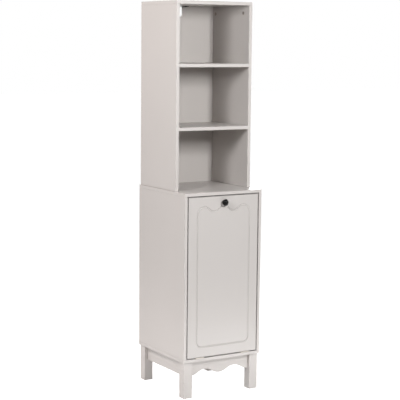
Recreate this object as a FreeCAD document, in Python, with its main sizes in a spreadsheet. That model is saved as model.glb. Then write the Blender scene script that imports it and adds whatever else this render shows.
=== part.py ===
import FreeCAD, Part
import math
import operator
import os

import Sketcher

# A tall bathroom cabinet. Three open compartments stand on a deeper lower cabinet, whose door tilts out
# on bottom hinges and carries a laundry bag. Four square legs and four aprons carry the cabinet.
# Millimetres. X runs to the right as seen from the front, Y from front to back, Z up from the floor.
# The origin is on the floor, under the middle of the whole object.

doc = FreeCAD.newDocument("bathroom_cabinet")
sheet = doc.addObject("Spreadsheet::Sheet", "Sizes")


# Sizes: each one is a number together with the sheet formula that gives it
SIGNS = {"+": operator.add, "-": operator.sub, "*": operator.mul, "/": operator.truediv}
size_names = []


class Size:
    """A length and its formula. Sums and products of sizes are sizes too."""

    def __init__(self, value, formula):
        self.value = value
        self.formula = formula

    def __add__(self, other):
        return combined(self, "+", other)

    def __radd__(self, other):
        return combined(other, "+", self)

    def __sub__(self, other):
        return combined(self, "-", other)

    def __rsub__(self, other):
        return combined(other, "-", self)

    def __mul__(self, other):
        return combined(self, "*", other)

    def __rmul__(self, other):
        return combined(other, "*", self)

    def __truediv__(self, other):
        return combined(self, "/", other)

    def __neg__(self):
        return combined(0, "-", self)


def as_size(amount):
    return amount if isinstance(amount, Size) else Size(float(amount), repr(float(amount)))


def combined(left, sign, right):
    left = as_size(left)
    right = as_size(right)
    value = SIGNS[sign](left.value, right.value)
    return Size(value, "(%s %s %s)" % (left.formula, sign, right.formula))


def root(amount):
    return Size(math.sqrt(amount.value), "sqrt(%s)" % amount.formula)


def sine(degrees):
    return Size(math.sin(math.radians(degrees.value)), "sin(%s * 1 deg)" % degrees.formula)


def cosine(degrees):
    return Size(math.cos(math.radians(degrees.value)), "cos(%s * 1 deg)" % degrees.formula)


def slope_angle(across, along):
    """The angle, in degrees, of a slope that goes across while it goes along."""
    value = math.degrees(math.atan(across.value / along.value))
    return Size(value, "(atan(%s / %s) / 1 deg)" % (across.formula, along.formula))


def size(name, value, meaning):
    """Writes one driving size to the sheet and returns it."""
    size_names.append(name)
    row = len(size_names)
    sheet.set("A%d" % row, meaning)
    sheet.set("B%d" % row, str(value))
    sheet.setAlias("B%d" % row, name)
    return Size(float(value), "Sizes." + name)


# Overall sizes
width = size("width", 400, "cabinet width")
lower_depth = size("lower_depth", 415, "depth of the lower cabinet")
upper_depth = size("upper_depth", 322, "depth of the open shelf unit")
upper_inset = size("upper_inset", 4.5, "upper unit set in from the lower cabinet's sides")
upper_setback = size("upper_setback", 3, "upper unit's rear edges in front of the lower cabinet's")
base_height = size("base_height", 163, "floor to the underside of the bottom panel")
lower_height = size("lower_height", 755, "height of the lower cabinet without its legs")
low_compartment = size("low_compartment", 266, "clear height of the lowest open compartment")
middle_compartment = size("middle_compartment", 264, "clear height of the middle compartment")
high_compartment = size("high_compartment", 259, "clear height of the highest compartment")

# Boards
board_thickness = size("board_thickness", 15, "thickness of every panel, shelf, rail and apron")
edge_ease = size("edge_ease", 0.8, "rounding of the board edges")
back_thickness = size("back_thickness", 5, "thickness of the back panels")
back_inset = size("back_inset", 10, "back panels set in from the rear edges")
tongue = size("tongue", 6, "depth of the grooves that hold the back panels")
fit_play = size("fit_play", 0.2, "play between pieces that slide together")

# Base
leg_side = size("leg_side", 42, "side of the square legs")
leg_inset = size("leg_inset", 6, "legs set in from the cabinet's edges")
apron_height = size("apron_height", 66, "height of the aprons")
apron_recess = size("apron_recess", 15, "aprons set back from the legs' outer faces")
scallop_rise = size("scallop_rise", 23, "rise of the two scallops of the front apron")

# Door
door_gap = size("door_gap", 3, "gap round the door")
swing = size("swing", 30, "degrees that the door tilts out")
groove_margin = size("groove_margin", 47, "door edge to the routed groove at the sides and bottom")
groove_top = size("groove_top", 45, "door top to the crests of the routed groove")
groove_drop = size("groove_drop", 22, "depth of the two dips of the groove's top")
groove_low_round = size("groove_low_round", 24, "corner radius of the groove at the bottom")
groove_high_round = size("groove_high_round", 34, "corner radius of the groove at the top")
groove_depth = size("groove_depth", 2.5, "depth of the routed groove")
groove_cutter = size("groove_cutter", 3.7, "radius of the round groove cutter")
knob_drop = size("knob_drop", 29, "door top to the middle of the knob")
knob_radius = size("knob_radius", 15, "radius of the knob's head")
knob_reach = size("knob_reach", 25, "door face to the front of the knob")
knob_rim = size("knob_rim", 15, "door face to the widest place of the knob")
knob_neck = size("knob_neck", 8, "door face to the narrowest place of the knob")
knob_neck_radius = size("knob_neck_radius", 6, "radius of the knob's neck")
knob_foot_radius = size("knob_foot_radius", 8.5, "radius of the knob's foot")
knob_bore = size("knob_bore", 13, "depth of the screw hole in the knob")

# Door hinges
hinge_length = size("hinge_length", 40, "length of a hinge")
hinge_inset = size("hinge_inset", 63, "door side to the middle of a hinge")
hinge_lead = size("hinge_lead", 2.6, "hinge axis in front of the door face")
leaf_thickness = size("leaf_thickness", 1, "thickness of a hinge leaf")
leaf_depth = size("leaf_depth", 13, "door face to the rear edge of a hinge leaf")
barrel_radius = size("barrel_radius", 2.5, "radius of the hinge barrel")
middle_knuckle = size("middle_knuckle", 16, "length of the middle knuckle")
knuckle_gap = size("knuckle_gap", 0.3, "gap between knuckles")
knuckle_room = size("knuckle_room", 0.5, "a leaf's cut-out behind the door face, clear of the knuckle")
pin_radius = size("pin_radius", 1.2, "radius of the hinge pin")
pin_play = size("pin_play", 0.05, "play between pin and knuckles")
button_radius = size("button_radius", 2.2, "radius of the pin's end buttons")
button_height = size("button_height", 1.2, "height of the pin's end buttons")

# Stop rail, catch and bumpers
rail_height = size("rail_height", 60, "height of the rail behind the door's top")
rail_gap = size("rail_gap", 2.3, "door back to the rail")
touch_gap = size("touch_gap", 0.3, "gap left where the closed door meets the catch and the bumpers")
bumper_radius = size("bumper_radius", 4, "radius of a door bumper")
bumper_inset = size("bumper_inset", 30, "side panel to the middle of a bumper")
catch_length = size("catch_length", 46, "length of the catch with its ears")
catch_ear = size("catch_ear", 8, "length of one ear of the catch")
catch_ear_height = size("catch_ear_height", 4, "height of the ears of the catch")
catch_height = size("catch_height", 12, "height of the catch")
catch_depth = size("catch_depth", 14, "depth of the catch from front to back")
magnet_length = size("magnet_length", 24, "length of the magnet")
magnet_height = size("magnet_height", 5, "height of the magnet")
magnet_depth = size("magnet_depth", 9, "depth of the magnet from front to back")
strike_thickness = size("strike_thickness", 1, "thickness of the strike plate")
strike_length = size("strike_length", 30, "length of the strike plate")
strike_tail = size("strike_tail", 12, "strike plate below the catch, where its screw sits")

# Wings, bag rods and laundry bag
wing_margin = size("wing_margin", 4, "door edge to the outer face of a wing board")
wing_play = size("wing_play", 6, "gap between the wings' curved tops and the stop rail")
wing_low = size("wing_low", 330, "hinge axis up to the foot of a wing")
wing_foot = size("wing_foot", 70, "straight foot of a wing, from the door to the curve")
wing_rear = size("wing_rear", 100, "height of a wing's rear edge")
horn_rise = size("horn_rise", 18, "height of the horn that stops the tilting door")
horn_angle = size("horn_angle", 2.2, "degrees that the horn takes up")
stop_margin = size("stop_margin", 0.3, "degrees from the end of the tilt to the horn's stop")
rod_radius = size("rod_radius", 5, "radius of the bag rods")
rod_depth = size("rod_depth", 20, "wing top to the middle of a rod")
rod_slot = size("rod_slot", 7, "depth of the rod slots in the wings")
front_rod = size("front_rod", 30, "door back to the front rod")
rear_rod = size("rear_rod", 282, "door back to the rear rod")
bag_side_gap = size("bag_side_gap", 13, "wing to the side of the laundry bag")
bag_wall = size("bag_wall", 2, "thickness of the bag's cloth and its hems")
bag_low = size("bag_low", 65, "hinge axis up to the bag's bottom")
bag_round = size("bag_round", 40, "corner radius of the bag's bottom")
hem_play = size("hem_play", 0.3, "play between a rod and the bag's hem")

# Wall tie and its notch
notch_width = size("notch_width", 22, "width of the notch in the upper back panel")
notch_depth = size("notch_depth", 49, "top panel's underside to the bottom of the notch")
loop_length = size("loop_length", 78, "length of the strap loop")
loop_span = size("loop_span", 50, "length of the loop's raised middle")
loop_width = size("loop_width", 12, "width of the loop's strip")
loop_thickness = size("loop_thickness", 2, "thickness of the loop's strip")
loop_gap = size("loop_gap", 3, "gap over the loop, for the strap")
loop_clear = size("loop_clear", 2, "loop to the back panel")

# Braces that hold the upper unit down
brace_leg = size("brace_leg", 25, "length of each leg of a corner brace")
brace_width = size("brace_width", 9, "width of a corner brace")
brace_thickness = size("brace_thickness", 2, "thickness of a corner brace")

# Dowels, cam fittings and screws
dowel_radius = size("dowel_radius", 4, "radius of the dowels")
dowel_in_face = size("dowel_in_face", 10, "dowel length in a board's face")
dowel_in_end = size("dowel_in_end", 20, "dowel length in a board's end")
drill_play = size("drill_play", 0.1, "radial play of dowels, bolts, nuts and screws in their holes")
drill_room = size("drill_room", 0.5, "free depth past the end of a dowel, bolt or screw")
cam_radius = size("cam_radius", 7.5, "radius of a cam nut")
cam_depth = size("cam_depth", 12.5, "depth of a cam nut")
cam_setback = size("cam_setback", 33, "board end to the middle of a cam nut")
cam_slot_width = size("cam_slot_width", 1.6, "width of the driver cross in a cam nut")
cam_slot_length = size("cam_slot_length", 9, "length of the driver cross in a cam nut")
cam_slot_depth = size("cam_slot_depth", 2, "depth of the driver cross in a cam nut")
bolt_radius = size("bolt_radius", 3, "radius of a cam bolt")
bolt_thread_radius = size("bolt_thread_radius", 2.5, "radius of a cam bolt's thread")
bolt_thread = size("bolt_thread", 11, "length of a cam bolt's thread")
upper_fix_front = size("upper_fix_front", 52, "front of the upper unit to its first fixings")
lower_fix_front = size("lower_fix_front", 65, "front of the lower cabinet to its first fixings")
fix_rear = size("fix_rear", 34, "rear edges to the last fixings")
dowel_step = size("dowel_step", 40, "cam nut to the dowel beside it")
end_dowel_inset = size("end_dowel_inset", 15, "edge of an apron or rail to a dowel in its end")
wing_fix_foot = size("wing_fix_foot", 45, "foot or top of a wing to its nearer cam nut")
screw_radius = size("screw_radius", 1.5, "radius of the small screws")
screw_head = size("screw_head", 2.9, "radius of the small screws' heads")
pan_height = size("pan_height", 1.8, "height of a small pan head")
screw_bite = size("screw_bite", 10, "length of a small screw in the wood")
base_screw_radius = size("base_screw_radius", 2.5, "radius of the base screws")
base_screw_head = size("base_screw_head", 5, "radius of the base screws' heads")
base_screw_length = size("base_screw_length", 55, "length of the base screws")
knob_screw_radius = size("knob_screw_radius", 2, "radius of the knob screw")
knob_screw_head = size("knob_screw_head", 4.5, "radius of the knob screw's head")
knob_screw_sink = size("knob_screw_sink", 4, "depth of the counterbore behind the knob")
knob_screw_height = size("knob_screw_height", 2.5, "height of the knob screw's head")

# Places worked out from the sizes
half = width / 2
inner = half - board_thickness
front = (knob_reach - lower_depth) / 2
back = front + lower_depth
panel_rear = back - back_inset
panel_front = panel_rear - back_thickness
upper_half = half - upper_inset
upper_inner = upper_half - board_thickness
upper_back = back - upper_setback
upper_front = upper_back - upper_depth
upper_panel_rear = upper_back - back_inset
upper_panel_front = upper_panel_rear - back_thickness
lower_floor = base_height + board_thickness
lower_top = base_height + lower_height
lower_roof = lower_top - board_thickness
low_shelf = lower_top + low_compartment
high_shelf = low_shelf + board_thickness + middle_compartment
upper_roof = high_shelf + board_thickness + high_compartment
upper_top = upper_roof + board_thickness
leg_outer = half - leg_inset
leg_inner = leg_outer - leg_side
leg_front = front + leg_inset
leg_rear = back - leg_inset
apron_low = base_height - apron_height
door_half = inner - door_gap
door_low = lower_floor + door_gap
door_high = lower_roof - door_gap
door_back = front + board_thickness
knob_z = door_high - knob_drop
hinge_y = front - hinge_lead
hinge_z = lower_floor + door_gap / 2
rail_front = door_back + rail_gap
rail_rear = rail_front + board_thickness
rail_low = lower_roof - rail_height

# Helpers: every helper binds what it makes to the sizes
VECTORS = {
    "+X": FreeCAD.Vector(1, 0, 0),
    "-X": FreeCAD.Vector(-1, 0, 0),
    "+Y": FreeCAD.Vector(0, 1, 0),
    "-Y": FreeCAD.Vector(0, -1, 0),
    "+Z": FreeCAD.Vector(0, 0, 1),
    "-Z": FreeCAD.Vector(0, 0, -1),
}
OPPOSITE = {"+X": "-X", "-X": "+X", "+Y": "-Y", "-Y": "+Y", "+Z": "-Z", "-Z": "+Z"}
SIDES = (("left", -1), ("right", 1))
blanks = {}
cutters = {}
pieces = {}


def bind(thing, **properties):
    for name, amount in properties.items():
        thing.setExpression(name, as_size(amount).formula)


def place(thing, point, facing="+Z", toward="+X"):
    """Puts a thing at a point, its own Z axis along facing and its own X axis towards toward."""
    turn = FreeCAD.Rotation(VECTORS[toward], FreeCAD.Vector(), VECTORS[facing], "ZXY")
    thing.Placement = FreeCAD.Placement(FreeCAD.Vector(), turn)
    for axis, amount in zip("xyz", point):
        thing.setExpression("Placement.Base." + axis, as_size(amount).formula)


def moved(point, facing, distance):
    """The point moved along an axis."""
    axis = "XYZ".index(facing[1])
    result = list(point)
    result[axis] = result[axis] + distance if facing[0] == "+" else result[axis] - distance
    return tuple(result)


def centred(middle, length):
    return middle - length / 2, middle + length / 2


def mirrored_span(sign, near, far):
    """A span on the right side, or its mirror image on the left."""
    return (near, far) if sign > 0 else (-far, -near)


def origin_plane(body, role):
    return next(plane for plane in body.Origin.OriginFeatures if plane.Role == role)


def new_sketch(body, name, plane):
    sketch = body.newObject("Sketcher::SketchObject", name)
    sketch.AttachmentSupport = (origin_plane(body, plane), [""])
    sketch.MapMode = "FlatFace"
    return sketch


def fix(sketch, constraint, *arguments):
    """Adds one constraint, bound to the size that ends its arguments."""
    amount = as_size(arguments[-1])
    number = sketch.addConstraint(Sketcher.Constraint(constraint, *arguments[:-1], amount.value))
    sketch.setExpression("Constraints[%d]" % number, amount.formula)


def fix_point(sketch, edge, end, u, v):
    """Fixes one end of an edge at u, v."""
    for constraint, axis, amount in (("DistanceX", -2, as_size(u)), ("DistanceY", -1, as_size(v))):
        if amount.value == 0:
            sketch.addConstraint(Sketcher.Constraint("PointOnObject", edge, end, axis))
        else:
            fix(sketch, constraint, -1, 1, edge, end, amount)


def outline(body, name, plane, corners):
    """A closed sketch through the corners.

    A corner is u, v, or u, v, radius where an arc leads to it: a positive radius turns left, a negative one
    turns right, and no arc is more than half a circle.
    """
    sketch = new_sketch(body, name, plane)
    points = [FreeCAD.Vector(as_size(corner[0]).value, as_size(corner[1]).value, 0) for corner in corners]
    ends = []
    for number, corner in enumerate(corners):
        start = points[number - 1]
        stop = points[number]
        if len(corner) == 2:
            edge = sketch.addGeometry(Part.LineSegment(start, stop))
            ends.append((edge, 1, 2))
            continue
        radius = corner[2].value
        chord = stop - start
        sagitta_side = math.sqrt(max(radius * radius - chord.Length ** 2 / 4, 0)) / chord.Length
        left = FreeCAD.Vector(-chord.y, chord.x, 0) * math.copysign(sagitta_side, radius)
        centre = (start + stop) / 2 + left
        first, last = (start, stop) if radius > 0 else (stop, start)
        angles = [math.atan2(point.y - centre.y, point.x - centre.x) for point in (first, last)]
        circle = Part.Circle(centre, FreeCAD.Vector(0, 0, 1), abs(radius))
        edge = sketch.addGeometry(Part.ArcOfCircle(circle, *angles))
        ends.append((edge, 1, 2) if radius > 0 else (edge, 2, 1))
    for number, (edge, beginning, end) in enumerate(ends):
        before, _, before_end = ends[number - 1]
        sketch.addConstraint(Sketcher.Constraint("Coincident", before, before_end, edge, beginning))
        fix_point(sketch, edge, end, corners[number][0], corners[number][1])
        if len(corners[number]) == 3:
            radius = corners[number][2]
            fix(sketch, "Radius", edge, radius if radius.value > 0 else -radius)
    return sketch


def box_corners(u, v):
    return [(u[0], v[0]), (u[1], v[0]), (u[1], v[1]), (u[0], v[1])]


def wave(u, crest, length, drop, count):
    """Corners of a wavy line that starts on a crest at u and runs towards smaller u."""
    radius = (length * length / 4 + drop * drop) / (drop * 4)
    corners = []
    for turn in range(count):
        for quarter, fall, hand in ((1, 0.5, 1), (2, 1, -1), (3, 0.5, -1), (4, 0, 1)):
            corners.append((u - length * (turn + quarter / 4), crest - drop * fall, radius * hand))
    return corners


def padded(body, sketch, length, reverse=False):
    pad = body.newObject("PartDesign::Pad", "pad")
    pad.Profile = sketch
    pad.Reversed = reverse
    bind(pad, Length=length)
    return pad


def ease_edges(body, base):
    fillet = body.newObject("PartDesign::Fillet", "eased_edges")
    fillet.Base = (base, [""])
    fillet.UseAllEdges = True
    bind(fillet, Radius=edge_ease)


def new_body(label):
    body = doc.addObject("PartDesign::Body", label + "_blank")
    blanks[label] = body
    cutters[label] = []
    return body


def board(label, x, y, z, eased=True):
    """A flat board between the given spans, with eased edges."""
    body = new_body(label)
    corners = box_corners((0, x[1] - x[0]), (0, y[1] - y[0]))
    pad = padded(body, outline(body, "face", "XY_Plane", corners), z[1] - z[0])
    if eased:
        ease_edges(body, pad)
    place(body, (x[0], y[0], z[0]))


def turned(name, profile):
    """A round piece: the profile, in radius and height, turned about the Z axis."""
    body = doc.addObject("PartDesign::Body", name)
    revolution = body.newObject("PartDesign::Revolution", "turn")
    sketch = outline(body, "profile", "XZ_Plane", profile)
    revolution.Profile = sketch
    revolution.ReferenceAxis = (sketch, ["V_Axis"])
    revolution.Angle = 360
    return body


def cylinder(name, radius, height, point, facing):
    thing = doc.addObject("Part::Cylinder", name)
    bind(thing, Radius=radius, Height=height)
    place(thing, point, facing, "+Y" if facing[1] == "X" else "+X")
    return thing


def block(name, x, y, z):
    thing = doc.addObject("Part::Box", name)
    bind(thing, Length=x[1] - x[0], Width=y[1] - y[0], Height=z[1] - z[0])
    place(thing, (x[0], y[0], z[0]))
    return thing


def fused(name, things):
    if len(things) == 1:
        return things[0]
    thing = doc.addObject("Part::MultiFuse", name)
    thing.Shapes = things
    return thing


def cut(name, base, tool):
    thing = doc.addObject("Part::Cut", name)
    thing.Base = base
    thing.Tool = tool
    return thing


def add_cutter(labels, tool):
    for label in labels:
        cutters[label].append(tool)


def drill(labels, radius, depth, point, facing):
    """Drills one straight hole through all the named pieces that it meets."""
    add_cutter(labels, cylinder("hole", radius, depth, point, facing))


def rout(labels, x, y, z):
    """Cuts one square-sided recess in all the named pieces that it meets."""
    add_cutter(labels, block("recess", x, y, z))


# Fasteners: one master of each kind, with its seat at its own origin and its tip along its own Z
def screw(name, radius, head_radius, length, sink=None, pan=None):
    """A countersunk screw when sink is given, a pan head screw when pan is given."""
    shank = [(radius, length - radius), (0, length)]
    if sink is not None:
        return turned(name, [(0, 0), (head_radius, 0), (radius, sink)] + shank)
    dome = (head_radius * head_radius + pan * pan) / (pan * 2)
    return turned(name, [(0, -pan), (head_radius, 0, dome), (radius, 0)] + shank)


def cam_nut_master():
    """A cam nut with a driver cross in its face and a round way in for the bolt."""
    blank = cylinder("cam_nut_blank", cam_radius, cam_depth, (0, 0, 0), "+Z")
    long_way = centred(as_size(0), cam_slot_length)
    short_way = centred(as_size(0), cam_slot_width)
    deep = (0, cam_slot_depth)
    way_in = cylinder(
        "cam_nut_way_in",
        bolt_radius + drill_play,
        cam_radius + bolt_radius,
        (-bolt_radius, 0, board_thickness / 2),
        "+X",
    )
    tools = [block("slot", long_way, short_way, deep), block("slot", short_way, long_way, deep), way_in]
    return cut("cam_nut", blank, fused("cam_nut_cuts", tools))


def cam_bolt_master():
    thread_end = -bolt_thread
    return turned(
        "cam_bolt",
        [
            (0, thread_end),
            (bolt_thread_radius, thread_end),
            (bolt_thread_radius, 0),
            (bolt_radius, 0),
            (bolt_radius, cam_setback),
            (0, cam_setback),
        ],
    )


masters = {
    "dowels": cylinder("dowel", dowel_radius, dowel_in_face + dowel_in_end, (0, 0, 0), "+Z"),
    "cam_nuts": cam_nut_master(),
    "cam_bolts": cam_bolt_master(),
}
copies = {}


def copy(group, kind, point, facing, toward="+X"):
    """Notes one more fastener of a kind for a group."""
    copies.setdefault((group, kind), []).append((point, facing, toward))


def dowel_joint(group, point, facing, face_label, end_label):
    """A dowel across a joint: the point is on the joint, and facing runs from the face into the end."""
    start = moved(point, OPPOSITE[facing], dowel_in_face)
    copy(group + "_dowels", "dowels", start, facing, "+Y" if facing[1] == "X" else "+X")
    length = dowel_in_face + dowel_in_end + drill_room * 2
    hole_start = moved(start, OPPOSITE[facing], drill_room)
    drill([face_label, end_label], dowel_radius + drill_play, length, hole_start, facing)


def cam_joint(group, point, facing, open_side, face_label, end_label):
    """A cam bolt in a board's face, and the cam nut that pulls it, open to one side of the other board."""
    into_nut = OPPOSITE[open_side]
    nut_place = moved(moved(point, facing, cam_setback), open_side, board_thickness / 2)
    across = "+Y" if facing[1] == "X" else "+X"
    copy(group + "_cam_bolts", "cam_bolts", point, facing, across)
    copy(group + "_cam_nuts", "cam_nuts", nut_place, into_nut, OPPOSITE[facing])
    thread_start = moved(point, OPPOSITE[facing], bolt_thread + drill_room)
    drill([face_label], bolt_thread_radius + drill_play, bolt_thread + drill_room, thread_start, facing)
    drill([end_label], bolt_radius + drill_play, cam_setback, point, facing)
    drill([end_label], cam_radius + drill_play, cam_depth, nut_place, into_nut)


def screw_hole(label, radius, depth, point, facing):
    drill([label], radius + drill_play, depth + drill_room, point, facing)


def countersink(label, radius, head_radius, sink, point, facing):
    cone = doc.addObject("Part::Cone", "countersink")
    bind(cone, Radius1=head_radius + drill_play, Radius2=radius + drill_play, Height=sink)
    place(cone, point, facing, "+Y" if facing[1] == "X" else "+X")
    add_cutter([label], cone)


# Base: four legs and four aprons. The front apron's lower edge has two scallops.
for side, sign in SIDES:
    leg_x = mirrored_span(sign, leg_inner, leg_outer)
    board("leg_front_" + side, leg_x, (leg_front, leg_front + leg_side), (0, base_height))
    board("leg_rear_" + side, leg_x, (leg_rear - leg_side, leg_rear), (0, base_height))
    apron_outer = leg_outer - apron_recess
    apron_x = mirrored_span(sign, apron_outer - board_thickness, apron_outer)
    apron_y = (leg_front + leg_side, leg_rear - leg_side)
    board("apron_" + side, apron_x, apron_y, (apron_low, base_height))

rear_apron_back = leg_rear - apron_recess
rear_apron_y = (rear_apron_back - board_thickness, rear_apron_back)
board("apron_rear", (-leg_inner, leg_inner), rear_apron_y, (apron_low, base_height))

front_apron_y = (leg_front + apron_recess, leg_front + apron_recess + board_thickness)
front_apron = new_body("apron_front")
front_apron_outline = [(-leg_inner, apron_height), (leg_inner, apron_height), (leg_inner, 0)]
front_apron_outline += wave(leg_inner, as_size(0), leg_inner, -scallop_rise, 2)
front_apron_face = outline(front_apron, "face", "XZ_Plane", front_apron_outline)
ease_edges(front_apron, padded(front_apron, front_apron_face, board_thickness))
place(front_apron, (0, front_apron_y[1], apron_low))

for height in (apron_low + end_dowel_inset, base_height - end_dowel_inset):
    for side, sign in SIDES:
        leg_side_face = leg_inner * sign
        inward = "-X" if sign > 0 else "+X"
        for end, apron_y in (("front", front_apron_y), ("rear", rear_apron_y)):
            point = (leg_side_face, (apron_y[0] + apron_y[1]) / 2, height)
            dowel_joint("apron", point, inward, "leg_%s_%s" % (end, side), "apron_" + end)
        apron_middle = (leg_outer - apron_recess - board_thickness / 2) * sign
        leg_faces = (("front", leg_front + leg_side, "+Y"), ("rear", leg_rear - leg_side, "-Y"))
        for end, face, facing in leg_faces:
            leg_label = "leg_%s_%s" % (end, side)
            dowel_joint("apron", (apron_middle, face, height), facing, leg_label, "apron_" + side)

# Lower cabinet: bottom, sides and top, with the back panel in grooves
board("lower_bottom_panel", (-half, half), (front, back), (base_height, lower_floor))
board("lower_top_panel", (-half, half), (front, back), (lower_roof, lower_top))
for side, sign in SIDES:
    side_x = mirrored_span(sign, inner, half)
    board("lower_%s_panel" % side, side_x, (front, back), (lower_floor, lower_roof))
back_half = inner + tongue - fit_play
lower_back_z = (lower_floor - tongue + fit_play, lower_roof + tongue - fit_play)
board("lower_back_panel", (-back_half, back_half), (panel_front, panel_rear), lower_back_z, eased=False)
rout(
    ["lower_bottom_panel", "lower_top_panel", "lower_left_panel", "lower_right_panel"],
    (-inner - tongue, inner + tongue),
    (panel_front - fit_play, panel_rear + fit_play),
    (lower_floor - tongue, lower_roof + tongue),
)

lower_fix_rear = back - fix_rear
for side, sign in SIDES:
    label = "lower_%s_panel" % side
    middle = (half - board_thickness / 2) * sign
    open_side = "-X" if sign > 0 else "+X"
    for other, height, facing in (
        ("lower_bottom_panel", lower_floor, "+Z"),
        ("lower_top_panel", lower_roof, "-Z"),
    ):
        for y, step in ((front + lower_fix_front, dowel_step), (lower_fix_rear, -dowel_step)):
            cam_joint("lower", (middle, y, height), facing, open_side, other, label)
            dowel_joint("lower", (middle, y + step, height), facing, other, label)

# Screws down through the bottom panel into the legs
base_sink = base_screw_head - base_screw_radius
masters["base_screws"] = screw(
    "base_screw", base_screw_radius, base_screw_head, base_screw_length, sink=base_sink
)
for side, sign in SIDES:
    for end, y in (("front", leg_front + leg_side / 2), ("rear", leg_rear - leg_side / 2)):
        point = ((leg_outer - leg_side / 2) * sign, y, lower_floor)
        copy("base_screws", "base_screws", point, "-Z")
        for label in ("lower_bottom_panel", "leg_%s_%s" % (end, side)):
            screw_hole(label, base_screw_radius, base_screw_length, point, "-Z")
        countersink("lower_bottom_panel", base_screw_radius, base_screw_head, base_sink, point, "-Z")

# Stop rail behind the door's top, on dowels between the side panels
board("stop_rail", (-inner, inner), (rail_front, rail_rear), (rail_low, lower_roof))
for side, sign in SIDES:
    inward = "-X" if sign > 0 else "+X"
    for height in (rail_low + end_dowel_inset, lower_roof - end_dowel_inset):
        point = (inner * sign, (rail_front + rail_rear) / 2, height)
        dowel_joint("lower", point, inward, "lower_%s_panel" % side, "stop_rail")

# Door: a flat board with a routed groove, whose top has two dips
door_height = door_high - door_low
door = new_body("door_panel")
door_face = outline(door, "face", "XZ_Plane", box_corners((-door_half, door_half), (0, door_height)))
ease_edges(door, padded(door, door_face, board_thickness, reverse=True))
groove_side = door_half - groove_margin
groove_crest = door_height - groove_top
groove_flat_low = groove_side - groove_low_round
groove_flat_high = groove_side - groove_high_round
groove_path = [
    (groove_flat_low, groove_margin),
    (groove_side, groove_margin + groove_low_round, groove_low_round),
    (groove_side, groove_crest - groove_high_round),
    (groove_flat_high, groove_crest, groove_high_round),
]
groove_path += wave(groove_flat_high, groove_crest, groove_flat_high, groove_drop, 2)
groove_path += [
    (-groove_side, groove_crest - groove_high_round, groove_high_round),
    (-groove_side, groove_margin + groove_low_round),
    (-groove_flat_low, groove_margin, groove_low_round),
    (0, groove_margin),
]
groove_line = outline(door, "groove_line", "XZ_Plane", groove_path)
groove_round = new_sketch(door, "groove_round", "YZ_Plane")
groove_height = groove_cutter - groove_depth
groove_centre = FreeCAD.Vector(-groove_height.value, groove_margin.value, 0)
groove_round.addGeometry(Part.Circle(groove_centre, VECTORS["+Z"], groove_cutter.value))
fix_point(groove_round, 0, 3, -groove_height, groove_margin)
fix(groove_round, "Radius", 0, groove_cutter)
groove = door.newObject("PartDesign::SubtractivePipe", "groove")
groove.Profile = groove_round
groove.Spine = (groove_line, [""])
place(door, (0, front, door_low))

# Knob, with its screw from behind the door
knob_dome = knob_reach - knob_rim
knob_flare = knob_radius - knob_neck_radius
knob_flare_height = knob_rim - knob_neck
knob_cove = knob_foot_radius - knob_neck_radius
knob_screw_hole = knob_screw_radius + drill_play
pieces["door_knob"] = turned(
    "knob",
    [
        (knob_screw_hole, 0),
        (knob_foot_radius, 0),
        (knob_neck_radius, knob_neck, -(knob_cove * knob_cove + knob_neck * knob_neck) / (knob_cove * 2)),
        (
            knob_radius,
            knob_rim,
            (knob_flare * knob_flare + knob_flare_height * knob_flare_height) / (knob_flare * 2),
        ),
        (0, knob_reach, (knob_radius * knob_radius + knob_dome * knob_dome) / (knob_dome * 2)),
        (0, knob_bore),
        (knob_screw_hole, knob_bore),
    ],
)
place(pieces["door_knob"], (0, front, knob_z), "-Y")
knob_screw_seat = (0, door_back - knob_screw_sink, knob_z)
knob_screw_length = board_thickness - knob_screw_sink + knob_bore - drill_room
pieces["knob_screw"] = screw(
    "knob_screw_master", knob_screw_radius, knob_screw_head, knob_screw_length, pan=knob_screw_height
)
place(pieces["knob_screw"], knob_screw_seat, "-Y")
drill(["door_panel"], knob_screw_head + drill_play, knob_screw_sink, knob_screw_seat, "+Y")
drill(["door_panel"], knob_screw_hole, board_thickness, knob_screw_seat, "-Y")

# Two butt hinges under the door. The cabinet's leaf has the outer knuckles, the door's leaf the middle one.
masters["hinge_screws"] = screw(
    "hinge_screw", screw_radius, screw_head, screw_bite + leaf_thickness, sink=leaf_thickness
)


def hinge_leaf(label, plate_z, hinge_x, knuckles, notches):
    """A leaf with its knuckles, cut out where the other leaf's knuckles turn."""
    plate = block(label + "_plate", hinge_x, (hinge_y, front + leaf_depth), plate_z)
    barrels = [
        cylinder(label + "_knuckle", barrel_radius, span[1] - span[0], (span[0], hinge_y, hinge_z), "+X")
        for span in knuckles
    ]
    notch_y = (hinge_y - barrel_radius, front + knuckle_room)
    notch_z = (hinge_z - barrel_radius, hinge_z + barrel_radius)
    notch_blocks = [block(label + "_notch", span, notch_y, notch_z) for span in notches]
    notched_plate = cut(label + "_leaf", plate, fused(label + "_notches", notch_blocks))
    length = hinge_x[1] - hinge_x[0]
    bore = cylinder(label + "_bore", pin_radius + pin_play, length, (hinge_x[0], hinge_y, hinge_z), "+X")
    blanks[label] = cut(label + "_blank", fused(label + "_solid", [notched_plate] + barrels), bore)
    cutters[label] = []


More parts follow.
